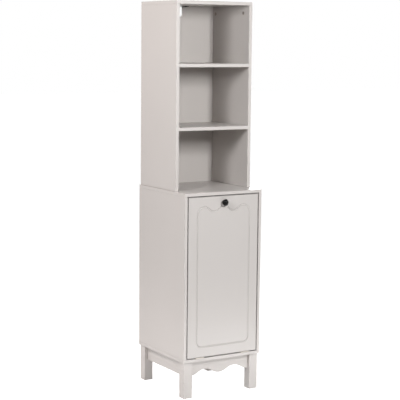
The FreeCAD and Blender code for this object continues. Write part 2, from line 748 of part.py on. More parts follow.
pin_profile = [
    (0, 0),
    (button_radius, 0),
    (button_radius, button_height),
    (pin_radius, button_height),
    (pin_radius, button_height + hinge_length),
    (button_radius, button_height + hinge_length),
    (button_radius, button_height * 2 + hinge_length),
    (0, button_height * 2 + hinge_length),
]
for side, sign in SIDES:
    hinge_middle = (door_half - hinge_inset) * sign
    hinge_x = centred(hinge_middle, hinge_length)
    middle_x = centred(hinge_middle, middle_knuckle)
    outer_x = [(hinge_x[0], middle_x[0] - knuckle_gap), (middle_x[1] + knuckle_gap, hinge_x[1])]
    side_notches = [(hinge_x[0], middle_x[0]), (middle_x[1], hinge_x[1])]
    middle_notch = [(middle_x[0] - knuckle_gap, middle_x[1] + knuckle_gap)]
    fixed_leaf = "hinge_fixed_leaf_" + side
    moving_leaf = "hinge_moving_leaf_" + side
    hinge_leaf(fixed_leaf, (lower_floor, lower_floor + leaf_thickness), hinge_x, outer_x, middle_notch)
    hinge_leaf(moving_leaf, (door_low - leaf_thickness, door_low), hinge_x, [middle_x], side_notches)
    pin = turned("pin_" + side, pin_profile)
    place(pin, (hinge_x[0] - button_height, hinge_y, hinge_z), "+X", "+Y")
    pieces["hinge_pin_" + side] = pin
    for screw_x in centred(hinge_middle, (hinge_length + middle_knuckle) / 2):
        for group, leaf, holder, facing, height in (
            ("hinge_screws_cabinet", fixed_leaf, "lower_bottom_panel", "-Z", lower_floor + leaf_thickness),
            ("hinge_screws_door", moving_leaf, "door_panel", "+Z", door_low - leaf_thickness),
        ):
            point = (screw_x, front + board_thickness / 2, height)
            copy(group, "hinge_screws", point, facing)
            screw_hole(holder, screw_radius, screw_bite + leaf_thickness, point, facing)
            countersink(leaf, screw_radius, screw_head, leaf_thickness, point, facing)

# Magnetic catch under the stop rail, its strike plate on the door, and two bumpers
catch_front = door_back + strike_thickness + touch_gap
catch_low = rail_low - catch_height
catch_half = catch_length / 2
housing_half = catch_half - catch_ear
catch = new_body("catch_body")
catch_outline = [
    (-housing_half, -catch_height),
    (housing_half, -catch_height),
    (housing_half, -catch_ear_height),
    (catch_half, -catch_ear_height),
    (catch_half, 0),
    (-catch_half, 0),
    (-catch_half, -catch_ear_height),
    (-housing_half, -catch_ear_height),
]
padded(catch, outline(catch, "face", "XZ_Plane", catch_outline), catch_depth, reverse=True)
place(catch, (0, catch_front, rail_low))
magnet_z = centred(rail_low - catch_height / 2, magnet_height)
magnet_y = (catch_front, catch_front + magnet_depth)
board("catch_magnet", centred(as_size(0), magnet_length), magnet_y, magnet_z, eased=False)
rout(
    ["catch_body"],
    centred(as_size(0), magnet_length + drill_play * 2),
    magnet_y,
    centred(rail_low - catch_height / 2, magnet_height + drill_play * 2),
)
catch_screw_length = screw_bite + catch_ear_height
masters["catch_screws"] = screw("catch_screw", screw_radius, screw_head, catch_screw_length, pan=pan_height)
for sign in (-1, 1):
    point = ((catch_half - catch_ear / 2) * sign, catch_front + catch_depth / 2, rail_low - catch_ear_height)
    copy("catch_screws", "catch_screws", point, "+Z")
    for label in ("catch_body", "stop_rail"):
        screw_hole(label, screw_radius, catch_screw_length, point, "+Z")

strike_y = (door_back, door_back + strike_thickness)
strike_z = (catch_low - strike_tail, rail_low - catch_ear_height)
board("strike_plate", centred(as_size(0), strike_length), strike_y, strike_z, eased=False)
masters["strike_screws"] = screw("strike_screw_master", screw_radius, screw_head, screw_bite, pan=pan_height)
strike_point = (0, door_back + strike_thickness, catch_low - strike_tail / 2)
copy("strike_screw", "strike_screws", strike_point, "-Y")
for label in ("strike_plate", "door_panel"):
    screw_hole(label, screw_radius, screw_bite, strike_point, "-Y")

masters["bumpers"] = cylinder("bumper", bumper_radius, rail_gap - touch_gap, (0, 0, 0), "+Z")
for sign in (-1, 1):
    point = ((inner - bumper_inset) * sign, rail_front, lower_roof - rail_height / 2)
    copy("door_bumpers", "bumpers", point, "-Y")

# Wings: boards on the door's back that carry the bag rods. Their tops follow the swing, and a horn at the
# rear meets the stop rail when the door is fully tilted. Their outlines are drawn round the hinge axis.
wing_door = door_back - hinge_y
rail_reach = rail_low - hinge_z
rail_front_reach = rail_front - hinge_y
rail_rear_reach = rail_rear - hinge_y
wing_radius = root(rail_front_reach * rail_front_reach + rail_reach * rail_reach) - wing_play
horn_radius = wing_radius + horn_rise
horn_start = swing + slope_angle(rail_rear_reach, rail_reach) + stop_margin
horn_end = horn_start + horn_angle
wing_rear_radius = wing_radius - wing_rear
wing_top = root(wing_radius * wing_radius - wing_door * wing_door)


def round_axis(radius, degrees):
    """A point round the hinge axis, by its angle from the vertical."""
    return radius * sine(degrees), radius * cosine(degrees)


wing_heel = (wing_door + wing_foot, wing_low)
wing_back = round_axis(wing_rear_radius, horn_end)
belly_across = wing_back[0] - wing_heel[0]
belly_up = wing_back[1] - wing_heel[1]
wing_outline = [
    (wing_door, wing_low),
    wing_heel,
    (*wing_back, root(belly_across * belly_across + belly_up * belly_up)),
    round_axis(horn_radius, horn_end),
    (*round_axis(horn_radius, horn_start), horn_radius),
    round_axis(wing_radius, horn_start),
    (wing_door, wing_top, wing_radius),
]
rod_circle = wing_radius - rod_depth
rods = []
for reach in (front_rod, rear_rod):
    rod_out = wing_door + reach
    rods.append((hinge_y + rod_out, hinge_z + root(rod_circle * rod_circle - rod_out * rod_out)))
wing_outer = door_half - wing_margin
wing_inner = wing_outer - board_thickness
for side, sign in SIDES:
    label = "wing_" + side
    wing = new_body(label)
    padded(wing, outline(wing, "face", "YZ_Plane", wing_outline), board_thickness)
    wing_x = mirrored_span(sign, wing_inner, wing_outer)
    place(wing, (wing_x[0], hinge_y, hinge_z))
    slot_x = mirrored_span(sign, wing_inner - drill_room, wing_inner + rod_slot)
    for rod_y, rod_z in rods:
        seat_radius = rod_radius + fit_play
        rout([label], slot_x, centred(rod_y, seat_radius * 2), (rod_z, rod_z + rod_depth * 2))
        drill([label], seat_radius, rod_slot + drill_room, (slot_x[0], rod_y, rod_z), "+X")
    wing_middle = (wing_inner + wing_outer) / 2 * sign
    open_side = "-X" if sign > 0 else "+X"
    for height, step in (
        (hinge_z + wing_low + wing_fix_foot, dowel_step),
        (hinge_z + wing_top - wing_fix_foot - rod_depth * 2, -dowel_step),
    ):
        cam_joint("wing", (wing_middle, door_back, height), "+Y", open_side, "door_panel", label)
        dowel_joint("wing", (wing_middle, door_back, height + step), "+Y", "door_panel", label)

# Bag rods, dropped into the wings' slots, and the laundry bag that hangs on them by its hems
rod_half = wing_inner + rod_slot - fit_play
for name, (rod_y, rod_z) in zip(("front", "rear"), rods):
    rod = turned(
        "rod_" + name,
        [(0, 0), (rod_radius, 0), (rod_radius, rod_half * 2), (0, rod_half * 2)],
    )
    place(rod, (-rod_half, rod_y, rod_z), "+X", "+Y")
    pieces["bag_rod_" + name] = rod

hem_radius = rod_radius + hem_play + bag_wall
bag_width = (wing_inner - bag_side_gap) * 2
bag_front = rods[0][0] - hem_radius
bag_rear = rods[1][0] + hem_radius
bag_floor = hinge_z + bag_low


def bag_section(inset, rise):
    """The bag's section from front to back, drawn in by an inset. Its top rises above the rods."""
    near = bag_front + inset
    far = bag_rear - inset
    low = bag_floor + inset
    corner = bag_round - inset
    return [
        (near, low + corner),
        (near + corner, low, corner),
        (far - corner, low),
        (far, low + corner, corner),
        (far, rods[1][1] + rise),
        (near, rods[0][1] + rise),
    ]


bag = doc.addObject("PartDesign::Body", "bag_cloth")
padded(bag, outline(bag, "outside", "YZ_Plane", bag_section(0, 0)), bag_width)
place(bag, (-bag_width / 2, 0, 0))
bag_space = doc.addObject("PartDesign::Body", "bag_space")
bag_inside = outline(bag_space, "inside", "YZ_Plane", bag_section(bag_wall, hem_radius))
padded(bag_space, bag_inside, bag_width - bag_wall * 2)
place(bag_space, (bag_wall - bag_width / 2, 0, 0))
hems = []
sleeves = []
for rod_y, rod_z in rods:
    start = (-bag_width / 2, rod_y, rod_z)
    hems.append(cylinder("hem", hem_radius, bag_width, start, "+X"))
    sleeves.append(cylinder("sleeve", rod_radius + hem_play, bag_width, start, "+X"))
bag_shell = fused("bag_shell", [cut("bag_hollow", bag, bag_space)] + hems)
pieces["laundry_bag"] = cut("bag_with_sleeves", bag_shell, fused("bag_sleeves", sleeves))

# Upper unit: sides on the lower cabinet's top, two fixed shelves, top and back panel
board("upper_top_panel", (-upper_half, upper_half), (upper_front, upper_back), (upper_roof, upper_top))
for side, sign in SIDES:
    side_x = mirrored_span(sign, upper_inner, upper_half)
    board("upper_%s_panel" % side, side_x, (upper_front, upper_back), (lower_top, upper_roof))
shelf_x = (-upper_inner, upper_inner)
shelf_y = (upper_front, upper_panel_front - fit_play)
board("upper_shelf_bottom", shelf_x, shelf_y, (low_shelf, low_shelf + board_thickness))
board("upper_shelf_top", shelf_x, shelf_y, (high_shelf, high_shelf + board_thickness))
upper_back_half = upper_inner + tongue - fit_play
upper_back_y = (upper_panel_front, upper_panel_rear)
upper_back_z = (lower_top, upper_roof + tongue - fit_play)
board("upper_back_panel", (-upper_back_half, upper_back_half), upper_back_y, upper_back_z, eased=False)
rout(
    ["upper_top_panel", "upper_left_panel", "upper_right_panel"],
    (-upper_inner - tongue, upper_inner + tongue),
    (upper_panel_front - fit_play, upper_panel_rear + fit_play),
    (lower_top, upper_roof + tongue),
)
notch_round = notch_width / 2
notch_centre = upper_roof - notch_depth + notch_round
rout(
    ["upper_back_panel"],
    (-notch_round, notch_round),
    upper_back_y,
    (notch_centre, upper_roof + tongue),
)
drill(["upper_back_panel"], notch_round, back_thickness, (0, upper_panel_front, notch_centre), "+Y")

upper_fix_rear = upper_back - fix_rear
shelf_middle_y = (upper_front + upper_fix_front + upper_fix_rear) / 2
for side, sign in SIDES:
    label = "upper_%s_panel" % side
    middle = (upper_half - board_thickness / 2) * sign
    inward = "-X" if sign > 0 else "+X"
    for y, step in ((upper_front + upper_fix_front, dowel_step), (upper_fix_rear, -dowel_step)):
        cam_joint("upper", (middle, y, upper_roof), "-Z", inward, "upper_top_panel", label)
        dowel_joint("upper", (middle, y + step, upper_roof), "-Z", "upper_top_panel", label)
        for shelf, height in (("upper_shelf_bottom", low_shelf), ("upper_shelf_top", high_shelf)):
            shelf_end = (upper_inner * sign, y, height + board_thickness / 2)
            dowel_joint("upper", shelf_end, inward, label, shelf)
    for shelf, height in (("upper_shelf_bottom", low_shelf), ("upper_shelf_top", high_shelf)):
        shelf_end = (upper_inner * sign, shelf_middle_y, height + board_thickness / 2)
        cam_joint("upper", shelf_end, inward, "-Z", label, shelf)
    for y in (shelf_middle_y, upper_fix_rear - dowel_step / 2):
        dowel_joint("upper", (middle, y, lower_top), "+Z", "lower_top_panel", label)

# Corner braces behind the upper back panel, from the lower cabinet's top to the upper sides
masters["brace_screws"] = screw(
    "brace_screw", screw_radius, screw_head, screw_bite + brace_thickness, sink=screw_head - screw_radius
)
brace_middle = upper_back - brace_width / 2
brace_profile = [
    (0, 0),
    (brace_leg, 0),
    (brace_leg, brace_thickness),
    (brace_thickness, brace_thickness),
    (brace_thickness, brace_leg),
    (0, brace_leg),
]
braces = []
brace_screw_reach = (brace_leg + brace_thickness) / 2
for side, sign in SIDES:
    brace = new_body("brace_" + side)
    corners = [(u * -sign, v) for u, v in brace_profile]
    corners = corners if sign < 0 else corners[::-1]
    padded(brace, outline(brace, "profile", "XZ_Plane", corners), brace_width)
    place(brace, (upper_inner * sign, upper_back, lower_top))
    outward = "+X" if sign > 0 else "-X"
    for holder, point, facing in (
        (
            "lower_top_panel",
            ((upper_inner - brace_screw_reach) * sign, brace_middle, lower_top + brace_thickness),
            "-Z",
        ),
        (
            "upper_%s_panel" % side,
            ((upper_inner - brace_thickness) * sign, brace_middle, lower_top + brace_screw_reach),
            outward,
        ),
    ):
        copy("brace_screws", "brace_screws", point, facing, "+Y" if facing[1] == "X" else "+X")
        screw_hole(holder, screw_radius, screw_bite + brace_thickness, point, facing)
        screw_hole("brace_" + side, screw_radius, screw_bite + brace_thickness, point, facing)
        countersink("brace_" + side, screw_radius, screw_head, screw_head - screw_radius, point, facing)

# Wall tie: a bent steel loop under the top panel, in front of the notch, where a strap passes to the wall
loop_half = loop_length / 2
loop_bend = loop_span / 2
loop_shift = loop_thickness * (math.sqrt(2) - 1)
loop_right = [
    (loop_bend - loop_gap, -loop_gap),
    (loop_bend, 0),
    (loop_half, 0),
    (loop_half, -loop_thickness),
    (loop_bend + loop_shift, -loop_thickness),
    (loop_bend + loop_shift - loop_gap, -loop_gap - loop_thickness),
]
loop = new_body("anti_tip_loop")
loop_outline = [(u, v) for u, v in reversed(loop_right)] + [(-u, v) for u, v in loop_right]
padded(loop, outline(loop, "profile", "XZ_Plane", loop_outline), loop_width)
loop_rear = upper_panel_front - loop_clear
place(loop, (0, loop_rear, upper_roof))
loop_screw_length = screw_bite + loop_thickness
masters["loop_screws"] = screw("loop_screw", screw_radius, screw_head, loop_screw_length, pan=pan_height)
for sign in (-1, 1):
    point = ((loop_half + loop_bend) / 2 * sign, loop_rear - loop_width / 2, upper_roof - loop_thickness)
    copy("anti_tip_screws", "loop_screws", point, "+Z")
    for label in ("anti_tip_loop", "upper_top_panel"):
        screw_hole(label, screw_radius, loop_screw_length, point, "+Z")

# Every blank gets its holes and recesses
for label, blank in blanks.items():
    tools = cutters[label]
    if not tools:
        pieces[label] = blank
        continue
    pieces[label] = cut(label + "_cut", blank, fused(label + "_cuts", tools))

# The two braces are one group
brace_group = doc.addObject("Part::Compound", "braces")
brace_group.Links = [pieces.pop("brace_left"), pieces.pop("brace_right")]
pieces["joining_braces"] = brace_group

# Fasteners of one kind and place are one group of separate copies
for (group, kind), places in copies.items():
    links = []
    for point, facing, toward in places:
        link = doc.addObject("App::Link", group + "_piece")
        link.LinkedObject = masters[kind]
        link.LinkTransform = False
        place(link, point, facing, toward)
        links.append(link)
    compound = doc.addObject("Part::Compound", group + "_group")
    compound.Links = links
    pieces[group] = compound

# Build, check and write
for label, piece in pieces.items():
    piece.Label = label
doc.recompute()
for thing in doc.Objects:
    if "Invalid" in thing.State or "Error" in thing.State:
        raise RuntimeError("%s failed: %s" % (thing.Label, thing.State))
for label, piece in pieces.items():
    shape = piece.Shape
    if shape.isNull() or not shape.isValid() or not shape.Solids:
        raise RuntimeError("%s has no valid solid" % label)
os.makedirs("parts", exist_ok=True)
for label, piece in pieces.items():
    piece.Shape.exportStep("parts/%s.step" % label)
print("%d sub-parts" % len(pieces))
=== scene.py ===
import math
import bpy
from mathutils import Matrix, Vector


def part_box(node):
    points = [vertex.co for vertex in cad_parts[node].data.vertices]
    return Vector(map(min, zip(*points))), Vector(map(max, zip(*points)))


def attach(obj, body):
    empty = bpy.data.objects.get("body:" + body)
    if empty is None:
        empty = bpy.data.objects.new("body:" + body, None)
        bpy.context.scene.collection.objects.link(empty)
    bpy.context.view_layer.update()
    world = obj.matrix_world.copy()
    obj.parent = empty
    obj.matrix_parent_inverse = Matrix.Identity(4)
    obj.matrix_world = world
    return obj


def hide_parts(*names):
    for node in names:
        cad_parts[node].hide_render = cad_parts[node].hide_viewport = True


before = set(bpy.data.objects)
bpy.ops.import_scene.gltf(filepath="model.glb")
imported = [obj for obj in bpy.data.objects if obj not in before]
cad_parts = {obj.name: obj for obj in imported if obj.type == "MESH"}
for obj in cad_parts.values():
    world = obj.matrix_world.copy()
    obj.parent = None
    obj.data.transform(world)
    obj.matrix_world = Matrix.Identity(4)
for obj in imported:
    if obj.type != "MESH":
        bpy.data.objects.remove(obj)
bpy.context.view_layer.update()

from types import SimpleNamespace

import bmesh
import bpy
from mathutils import Matrix, Vector

# Base: four square legs and four aprons of fibreboard, sprayed with satin paint in a warm light grey.
# Dowels join the aprons to the legs, and the bottom panel is screwed down onto the legs from above.
# All boards have this paint. Its colour has painted shade deep in seams and painted shadow on the arrises
# along the door's gaps.
PAINT_GREY = (0.545, 0.514, 0.494, 1.0)
PAINT_DRIFT = 0.06
PAINT_SHEEN = 0.33
PAINT_MOTTLE = 0.09
DRIFT_SCALE = 2.3
GRAIN_SCALE = 240.0
GRAIN_SHARE = 0.016
MOTTLE_SCALE = 55.0
PEEL_SCALE = 620.0
ROLL_SCALE = 90.0
ROLL_HEIGHT = 1.6
SEAM_REACH = 0.0025
SEAM_START = 0.7
SEAM_SAMPLES = 8
ARRIS_REACH = 0.004
ARRIS_GAIN = 8.0
RIM_REACH = 0.0065


def feed(tree, socket, value):
    """Links a socket to another node's output, or sets it to a number or a colour."""
    if isinstance(value, bpy.types.NodeSocket):
        tree.links.new(value, socket)
    else:
        socket.default_value = value


def add_node(tree, kind, settings=None, **inputs):
    """Adds one shader node. Settings are its properties, and inputs are fed by name."""
    node = tree.nodes.new("ShaderNode" + kind)
    for name, value in (settings or {}).items():
        setattr(node, name, value)
    for name, value in inputs.items():
        feed(tree, node.inputs[name], value)
    return node


def calculate(tree, operation, *values):
    """Adds one math node and returns its result."""
    node = add_node(tree, "Math", {"operation": operation})
    for socket, value in zip(node.inputs, values):
        feed(tree, socket, value)
    return node.outputs[0]


def new_effect(name, inputs):
    """An empty surface effect: a node group, the inputs given to it, and the results that it puts out."""
    group = bpy.data.node_groups.new(name, "ShaderNodeTree")
    for socket, value in inputs.items():
        kind = "NodeSocketColor" if isinstance(value, tuple) else "NodeSocketFloat"
        group.interface.new_socket(socket, in_out="INPUT", socket_type=kind).default_value = value
    for socket, kind in (("Colour", "Color"), ("Roughness", "Float"), ("Height", "Float")):
        group.interface.new_socket(socket, in_out="OUTPUT", socket_type="NodeSocket" + kind)
    given = group.nodes.new("NodeGroupInput").outputs
    results = group.nodes.new("NodeGroupOutput").inputs
    return group, given, results


def put_out(group, results, **values):
    """Links what an effect works out to its results."""
    for name, value in values.items():
        feed(group, results[name], value)


def use_effect(tree, group, **values):
    """Places an effect in a material with its own values."""
    return add_node(tree, "Group", {"node_tree": group}, **values).outputs


def noise(tree, place, scale, detail=2.0):
    """A noise from 0 to 1, with so many features in a metre."""
    return add_node(tree, "TexNoise", Vector=place, Scale=scale, Detail=detail).outputs[0]


def centred_noise(tree, place, scale, share, detail=2.0):
    """A noise about 0 that spans the given share."""
    from_middle = calculate(tree, "SUBTRACT", noise(tree, place, scale, detail), 0.5)
    return calculate(tree, "MULTIPLY", from_middle, share)


def scaled_colour(tree, colour, factor):
    """A colour made darker or lighter by a factor."""
    node = add_node(tree, "VectorMath", {"operation": "SCALE"}, Scale=factor)
    feed(tree, node.inputs[0], colour)
    return node.outputs[0]


def painted_seam_shade(group):
    """Painted shade for seams: how shut in a place is, from 0 in the open to 1 deep in a seam."""
    settings = {"samples": SEAM_SAMPLES}
    open_share = add_node(group, "AmbientOcclusion", settings, Distance=SEAM_REACH).outputs["AO"]
    shut_share = calculate(group, "SUBTRACT", 1.0, calculate(group, "DIVIDE", open_share, SEAM_START))
    return calculate(group, "MAXIMUM", shut_share, 0.0)


def arris_share(group):
    """How close a place is to an arris, from 0 on the flat to 1; the mask for painted shade on arrises."""
    rounded = add_node(group, "Bevel", Radius=ARRIS_REACH).outputs[0]
    flat = add_node(group, "NewGeometry").outputs["True Normal"]
    alike = add_node(group, "VectorMath", {"operation": "DOT_PRODUCT"})
    feed(group, alike.inputs[0], rounded)
    feed(group, alike.inputs[1], flat)
    turned = calculate(group, "SUBTRACT", 1.0, alike.outputs["Value"])
    return calculate(group, "MINIMUM", calculate(group, "MULTIPLY", turned, ARRIS_GAIN), 1.0)


def gap_shadow_mask(group, place):
    """1 close to the door's outline as seen from the front, and 0 elsewhere: where painted shadow lines the
    door's gaps.
    """
    low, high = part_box("door_panel")
    half_height = (high[2] - low[2]) / 2
    parts = add_node(group, "SeparateXYZ", Vector=place).outputs
    from_middle = calculate(group, "SUBTRACT", parts["Z"], low[2] + half_height)
    aside = calculate(group, "SUBTRACT", calculate(group, "ABSOLUTE", parts["X"]), high[0])
    above = calculate(group, "SUBTRACT", calculate(group, "ABSOLUTE", from_middle), half_height)
    off_edge = calculate(group, "ABSOLUTE", calculate(group, "MAXIMUM", aside, above))
    return calculate(group, "LESS_THAN", off_edge, RIM_REACH)


def make_paint_film_and_shade():
    """Sprayed paint: tone that drifts, painted shade in seams and on arrises, mottled sheen and orange peel.
    """
    group, given, results = new_effect(
        "paint_film_and_shade",
        {
            "Colour": PAINT_GREY,
            "Drift": PAINT_DRIFT,
            "Sheen": PAINT_SHEEN,
            "Mottle": PAINT_MOTTLE,
            "Arris": 0.0,
            "Rim": 0.0,
        },
    )
    place = add_node(group, "TexCoord").outputs["Object"]
    drift = centred_noise(group, place, DRIFT_SCALE, given["Drift"])
    grain = centred_noise(group, place, GRAIN_SCALE, GRAIN_SHARE, detail=3.0)
    even = calculate(group, "ADD", calculate(group, "ADD", drift, grain), 1.0)
    # Painted shadow along the door's gaps and painted shade on arrises, joined with the painted shade of
    # seams.
    at_gap_shadow = gap_shadow_mask(group, place)
    painted_arris_shade = calculate(group, "MULTIPLY_ADD", at_gap_shadow, given["Rim"], given["Arris"])
    arris = calculate(group, "MULTIPLY", arris_share(group), painted_arris_shade)
    shade = calculate(group, "MAXIMUM", painted_seam_shade(group), arris)
    tone = calculate(group, "MULTIPLY", even, calculate(group, "SUBTRACT", 1.0, shade))
    mottle = centred_noise(group, place, MOTTLE_SCALE, given["Mottle"], detail=4.0)
    peel = noise(group, place, PEEL_SCALE)
    roll = noise(group, place, ROLL_SCALE, detail=1.0)
    put_out(
        group,
        results,
        Colour=scaled_colour(group, given["Colour"], tone),
        Roughness=calculate(group, "ADD", given["Sheen"], mottle),
        Height=calculate(group, "MULTIPLY_ADD", roll, ROLL_HEIGHT, peel),
    )
    return group


def new_material(name):
    """A new material, its node tree and its surface shader."""
    material = bpy.data.materials.new(name)
    material.use_nodes = True
    return material, material.node_tree, material.node_tree.nodes["Principled BSDF"]


def connect(tree, shader, surface, bump_strength, bump_depth):
    """Feeds a colour, a roughness and a height to a surface shader."""
    bump = add_node(tree, "Bump", Strength=bump_strength, Distance=bump_depth, Height=surface["Height"])
    feed(tree, shader.inputs["Base Color"], surface["Colour"])
    feed(tree, shader.inputs["Roughness"], surface["Roughness"])
    feed(tree, shader.inputs["Normal"], bump.outputs["Normal"])


def finish_nodes(material, names):
    """Gives CAD nodes their finish."""
    for name in names:
        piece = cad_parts[name]
        if not piece.material_slots:
            piece.data.materials.append(material)
        for slot in piece.material_slots:
            slot.material = material


paint_film_and_shade = make_paint_film_and_shade()


def make_painted(name, colour, arris=0.0, rim=0.0):
    """Satin paint. arris sets painted shade on all sharp edges, and rim the painted shadow on those along
    the door's gaps.
    """
    material, tree, shader = new_material(name)
    surface = use_effect(tree, paint_film_and_shade, Colour=colour, Arris=arris, Rim=rim)
    connect(tree, shader, surface, bump_strength=0.12, bump_depth=0.00012)
    return material


painted_board = make_painted("grey_satin_paint", PAINT_GREY)
base_boards = [
    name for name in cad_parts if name.startswith(("leg_", "apron_")) and "dowels" not in name
]
finish_nodes(painted_board, base_boards)

# Dowels: short round pins of beech, glued into the aprons, rails, wings and panels.
# Only their ends would show, and only with the cabinet taken apart.
BEECH = (0.47, 0.27, 0.13, 1.0)
BEECH_DARK = (0.33, 0.17, 0.075, 1.0)
BEECH_STREAKS = 900.0
BEECH_STRETCH = 0.06
STREAK_SHARE = 0.9
FLECK_SCALE = 1500.0
FLECK_SHARE = 0.25
FLECK_ROUGHNESS = 0.2
FIBRE_ROUGHNESS = 0.55


def blend_colours(tree, share, first, second):
    """Adds one colour mix and returns its result."""
    node = add_node(tree, "Mix", {"data_type": "RGBA"})
    sockets = [socket for socket in node.inputs if socket.enabled]
    for socket, value in zip(sockets, (share, first, second)):
        feed(tree, socket, value)
    return next(socket for socket in node.outputs if socket.enabled)


def make_fibre():
    """Fibres drawn out along Z: streaks of colour, flecks and fine ridges."""
    group, given, results = new_effect(
        "fibre",
        {"Light": BEECH, "Dark": BEECH_DARK, "Streaks": BEECH_STREAKS, "Stretch": BEECH_STRETCH},
    )
    place = add_node(group, "TexCoord").outputs["Object"]
    parts = add_node(group, "SeparateXYZ", Vector=place).outputs
    along = calculate(group, "MULTIPLY", parts["Z"], given["Stretch"])
    drawn = add_node(group, "CombineXYZ", X=parts["X"], Y=parts["Y"], Z=along).outputs[0]
    streak = noise(group, drawn, given["Streaks"], detail=4.0)
    fleck = noise(group, place, FLECK_SCALE)
    streaks = calculate(group, "MULTIPLY", streak, STREAK_SHARE)
    share = calculate(group, "MULTIPLY_ADD", fleck, FLECK_SHARE, streaks)
    put_out(
        group,
        results,
        Colour=blend_colours(group, share, given["Dark"], given["Light"]),
        Roughness=calculate(group, "MULTIPLY_ADD", fleck, FLECK_ROUGHNESS, FIBRE_ROUGHNESS),
        Height=share,
    )
    return group


fibre = make_fibre()


def make_beech():
    material, tree, shader = new_material("beech_dowel")
    surface = use_effect(
        tree, fibre, Light=BEECH, Dark=BEECH_DARK, Streaks=BEECH_STREAKS, Stretch=BEECH_STRETCH
    )
    connect(tree, shader, surface, bump_strength=0.3, bump_depth=0.0003)
    return material


finish_nodes(make_beech(), [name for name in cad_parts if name.endswith("dowels")])

# Lower cabinet: bottom, sides and top of the same painted fibreboard, with a rail behind the door's top.
# Dowels and cam fittings hold them together, and all edges are slightly rounded under the paint.
# The edges of the opening carry painted shadow where the door's narrow gaps begin.
RIM_SHADE = 0.95
lower_boards = [
    "lower_bottom_panel",
    "lower_top_panel",
    "lower_left_panel",
    "lower_right_panel",
    "stop_rail",
]
finish_nodes(make_painted("frame_satin_paint_with_gap_shadow", PAINT_GREY, rim=RIM_SHADE), lower_boards)

# Back panels: thin hardboard in grooves, painted grey on the front and raw brown on the rear.
# The upper one has a notch at its top, where a strap goes through to the wall.
BACKING_GREY = (0.540, 0.510, 0.488, 1.0)
HARDBOARD = (0.30, 0.175, 0.09, 1.0)
HARDBOARD_DARK = (0.19, 0.10, 0.05, 1.0)
REAR_FACING = 0.5


def make_backing():
    material, tree, shader = new_material("hardboard_painted_in_front")
    shader.inputs["Specular IOR Level"].default_value = 0.4
    paint = use_effect(tree, paint_film_and_shade, Colour=BACKING_GREY, Sheen=0.42, Mottle=0.08)
    raw = use_effect(tree, fibre, Light=HARDBOARD, Dark=HARDBOARD_DARK, Streaks=260.0, Stretch=0.6)
    normal = add_node(tree, "TexCoord").outputs["Normal"]
    backward = add_node(tree, "SeparateXYZ", Vector=normal).outputs["Y"]
    rear = calculate(tree, "GREATER_THAN", backward, REAR_FACING)
    rough_step = calculate(tree, "SUBTRACT", raw["Roughness"], paint["Roughness"])
    surface = {
        "Colour": blend_colours(tree, rear, paint["Colour"], raw["Colour"]),
        "Roughness": calculate(tree, "MULTIPLY_ADD", rear, rough_step, paint["Roughness"]),
        "Height": paint["Height"],
    }
    connect(tree, shader, surface, bump_strength=0.15, bump_depth=0.00015)
    return material


finish_nodes(make_backing(), ["lower_back_panel", "upper_back_panel"])

# Cam fittings: die-cast zinc nuts with a driver cross, flush in the panels, and the bolts that they pull.
# The nuts of the upper sides show just under the top panel.
ZINC = (0.40, 0.36, 0.32, 1.0)
CLOUD_SCALE = 180.0
CLOUD_ROUGHNESS = 0.4
SAND_SCALE = 2600.0


def make_cast_metal():
    """Cast or plated metal: cloudy tone, uneven sheen and a fine sandy skin."""
    group, given, results = new_effect(
        "cast_metal", {"Colour": ZINC, "Cloud": 0.5, "Sheen": 0.42, "Sand": 1.0}
    )
    place = add_node(group, "TexCoord").outputs["Object"]
    cloud = centred_noise(group, place, CLOUD_SCALE, given["Cloud"], detail=4.0)
    put_out(
        group,
        results,
        Colour=scaled_colour(group, given["Colour"], calculate(group, "ADD", cloud, 1.0)),
        Roughness=calculate(group, "MULTIPLY_ADD", cloud, CLOUD_ROUGHNESS, given["Sheen"]),
        Height=calculate(group, "MULTIPLY", noise(group, place, SAND_SCALE), given["Sand"]),
    )
    return group


cast_metal = make_cast_metal()


def make_metal(name, colour, cloud, sheen, sand, metallic=1.0):
    material, tree, shader = new_material(name)
    shader.inputs["Metallic"].default_value = metallic
    surface = use_effect(tree, cast_metal, Colour=colour, Cloud=cloud, Sheen=sheen, Sand=sand)
    connect(tree, shader, surface, bump_strength=0.2, bump_depth=0.00008)
    return material


zinc = make_metal("dull_zinc", ZINC, cloud=0.5, sheen=0.42, sand=1.0)
finish_nodes(zinc, [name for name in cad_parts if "cam_" in name])

# Door: one painted board that fills the lower front, with a groove routed round it in a wavy-topped outline.
# It stands on two hinges at its bottom edge and tilts out. Its colour is a shade darker than the frame's:
# painted shade on the same paint.
DOOR_GREY_WITH_PAINTED_SHADE = (0.516, 0.488, 0.470, 1.0)
# The door's arrises, the groove's among them, get painted shade, and its outline along the gaps painted
# shadow.
GROOVE_SHADE = 0.22
door_paint = make_painted("door_satin_paint_with_painted_shade", DOOR_GREY_WITH_PAINTED_SHADE, arris=GROOVE_SHADE, rim=RIM_SHADE - GROOVE_SHADE)
finish_nodes(door_paint, ["door_panel"])

# Knob: a turned mushroom knob with a black gloss finish, held by a screw through the door.
# It is the only dark piece on the front.
KNOB_BLACK = (0.004, 0.0035, 0.0035, 1.0)


def make_knob_black():
    material, tree, shader = new_material("black_gloss")
    shader.inputs["Specular IOR Level"].default_value = 0.09
    surface = use_effect(tree, paint_film_and_shade, Colour=KNOB_BLACK, Drift=0.4, Sheen=0.12, Mottle=0.06)
    connect(tree, shader, surface, bump_strength=0.05, bump_depth=0.00004)
    return material


finish_nodes(make_knob_black(), ["door_knob"])

# Hinges: two nickel-plated steel butt hinges between the door's bottom edge and the bottom panel.
# Only their knuckles and the buttons of their pins show, in the gap under the door.
# The strike plate for the catch, behind the door's top, has the same plating.
NICKEL = (0.56, 0.52, 0.47, 1.0)
nickel = make_metal("nickel_plate", NICKEL, cloud=0.2, sheen=0.3, sand=0.5)
hinge_pieces = [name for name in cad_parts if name.startswith("hinge_") and "screws" not in name]
finish_nodes(nickel, hinge_pieces + ["strike_plate"])

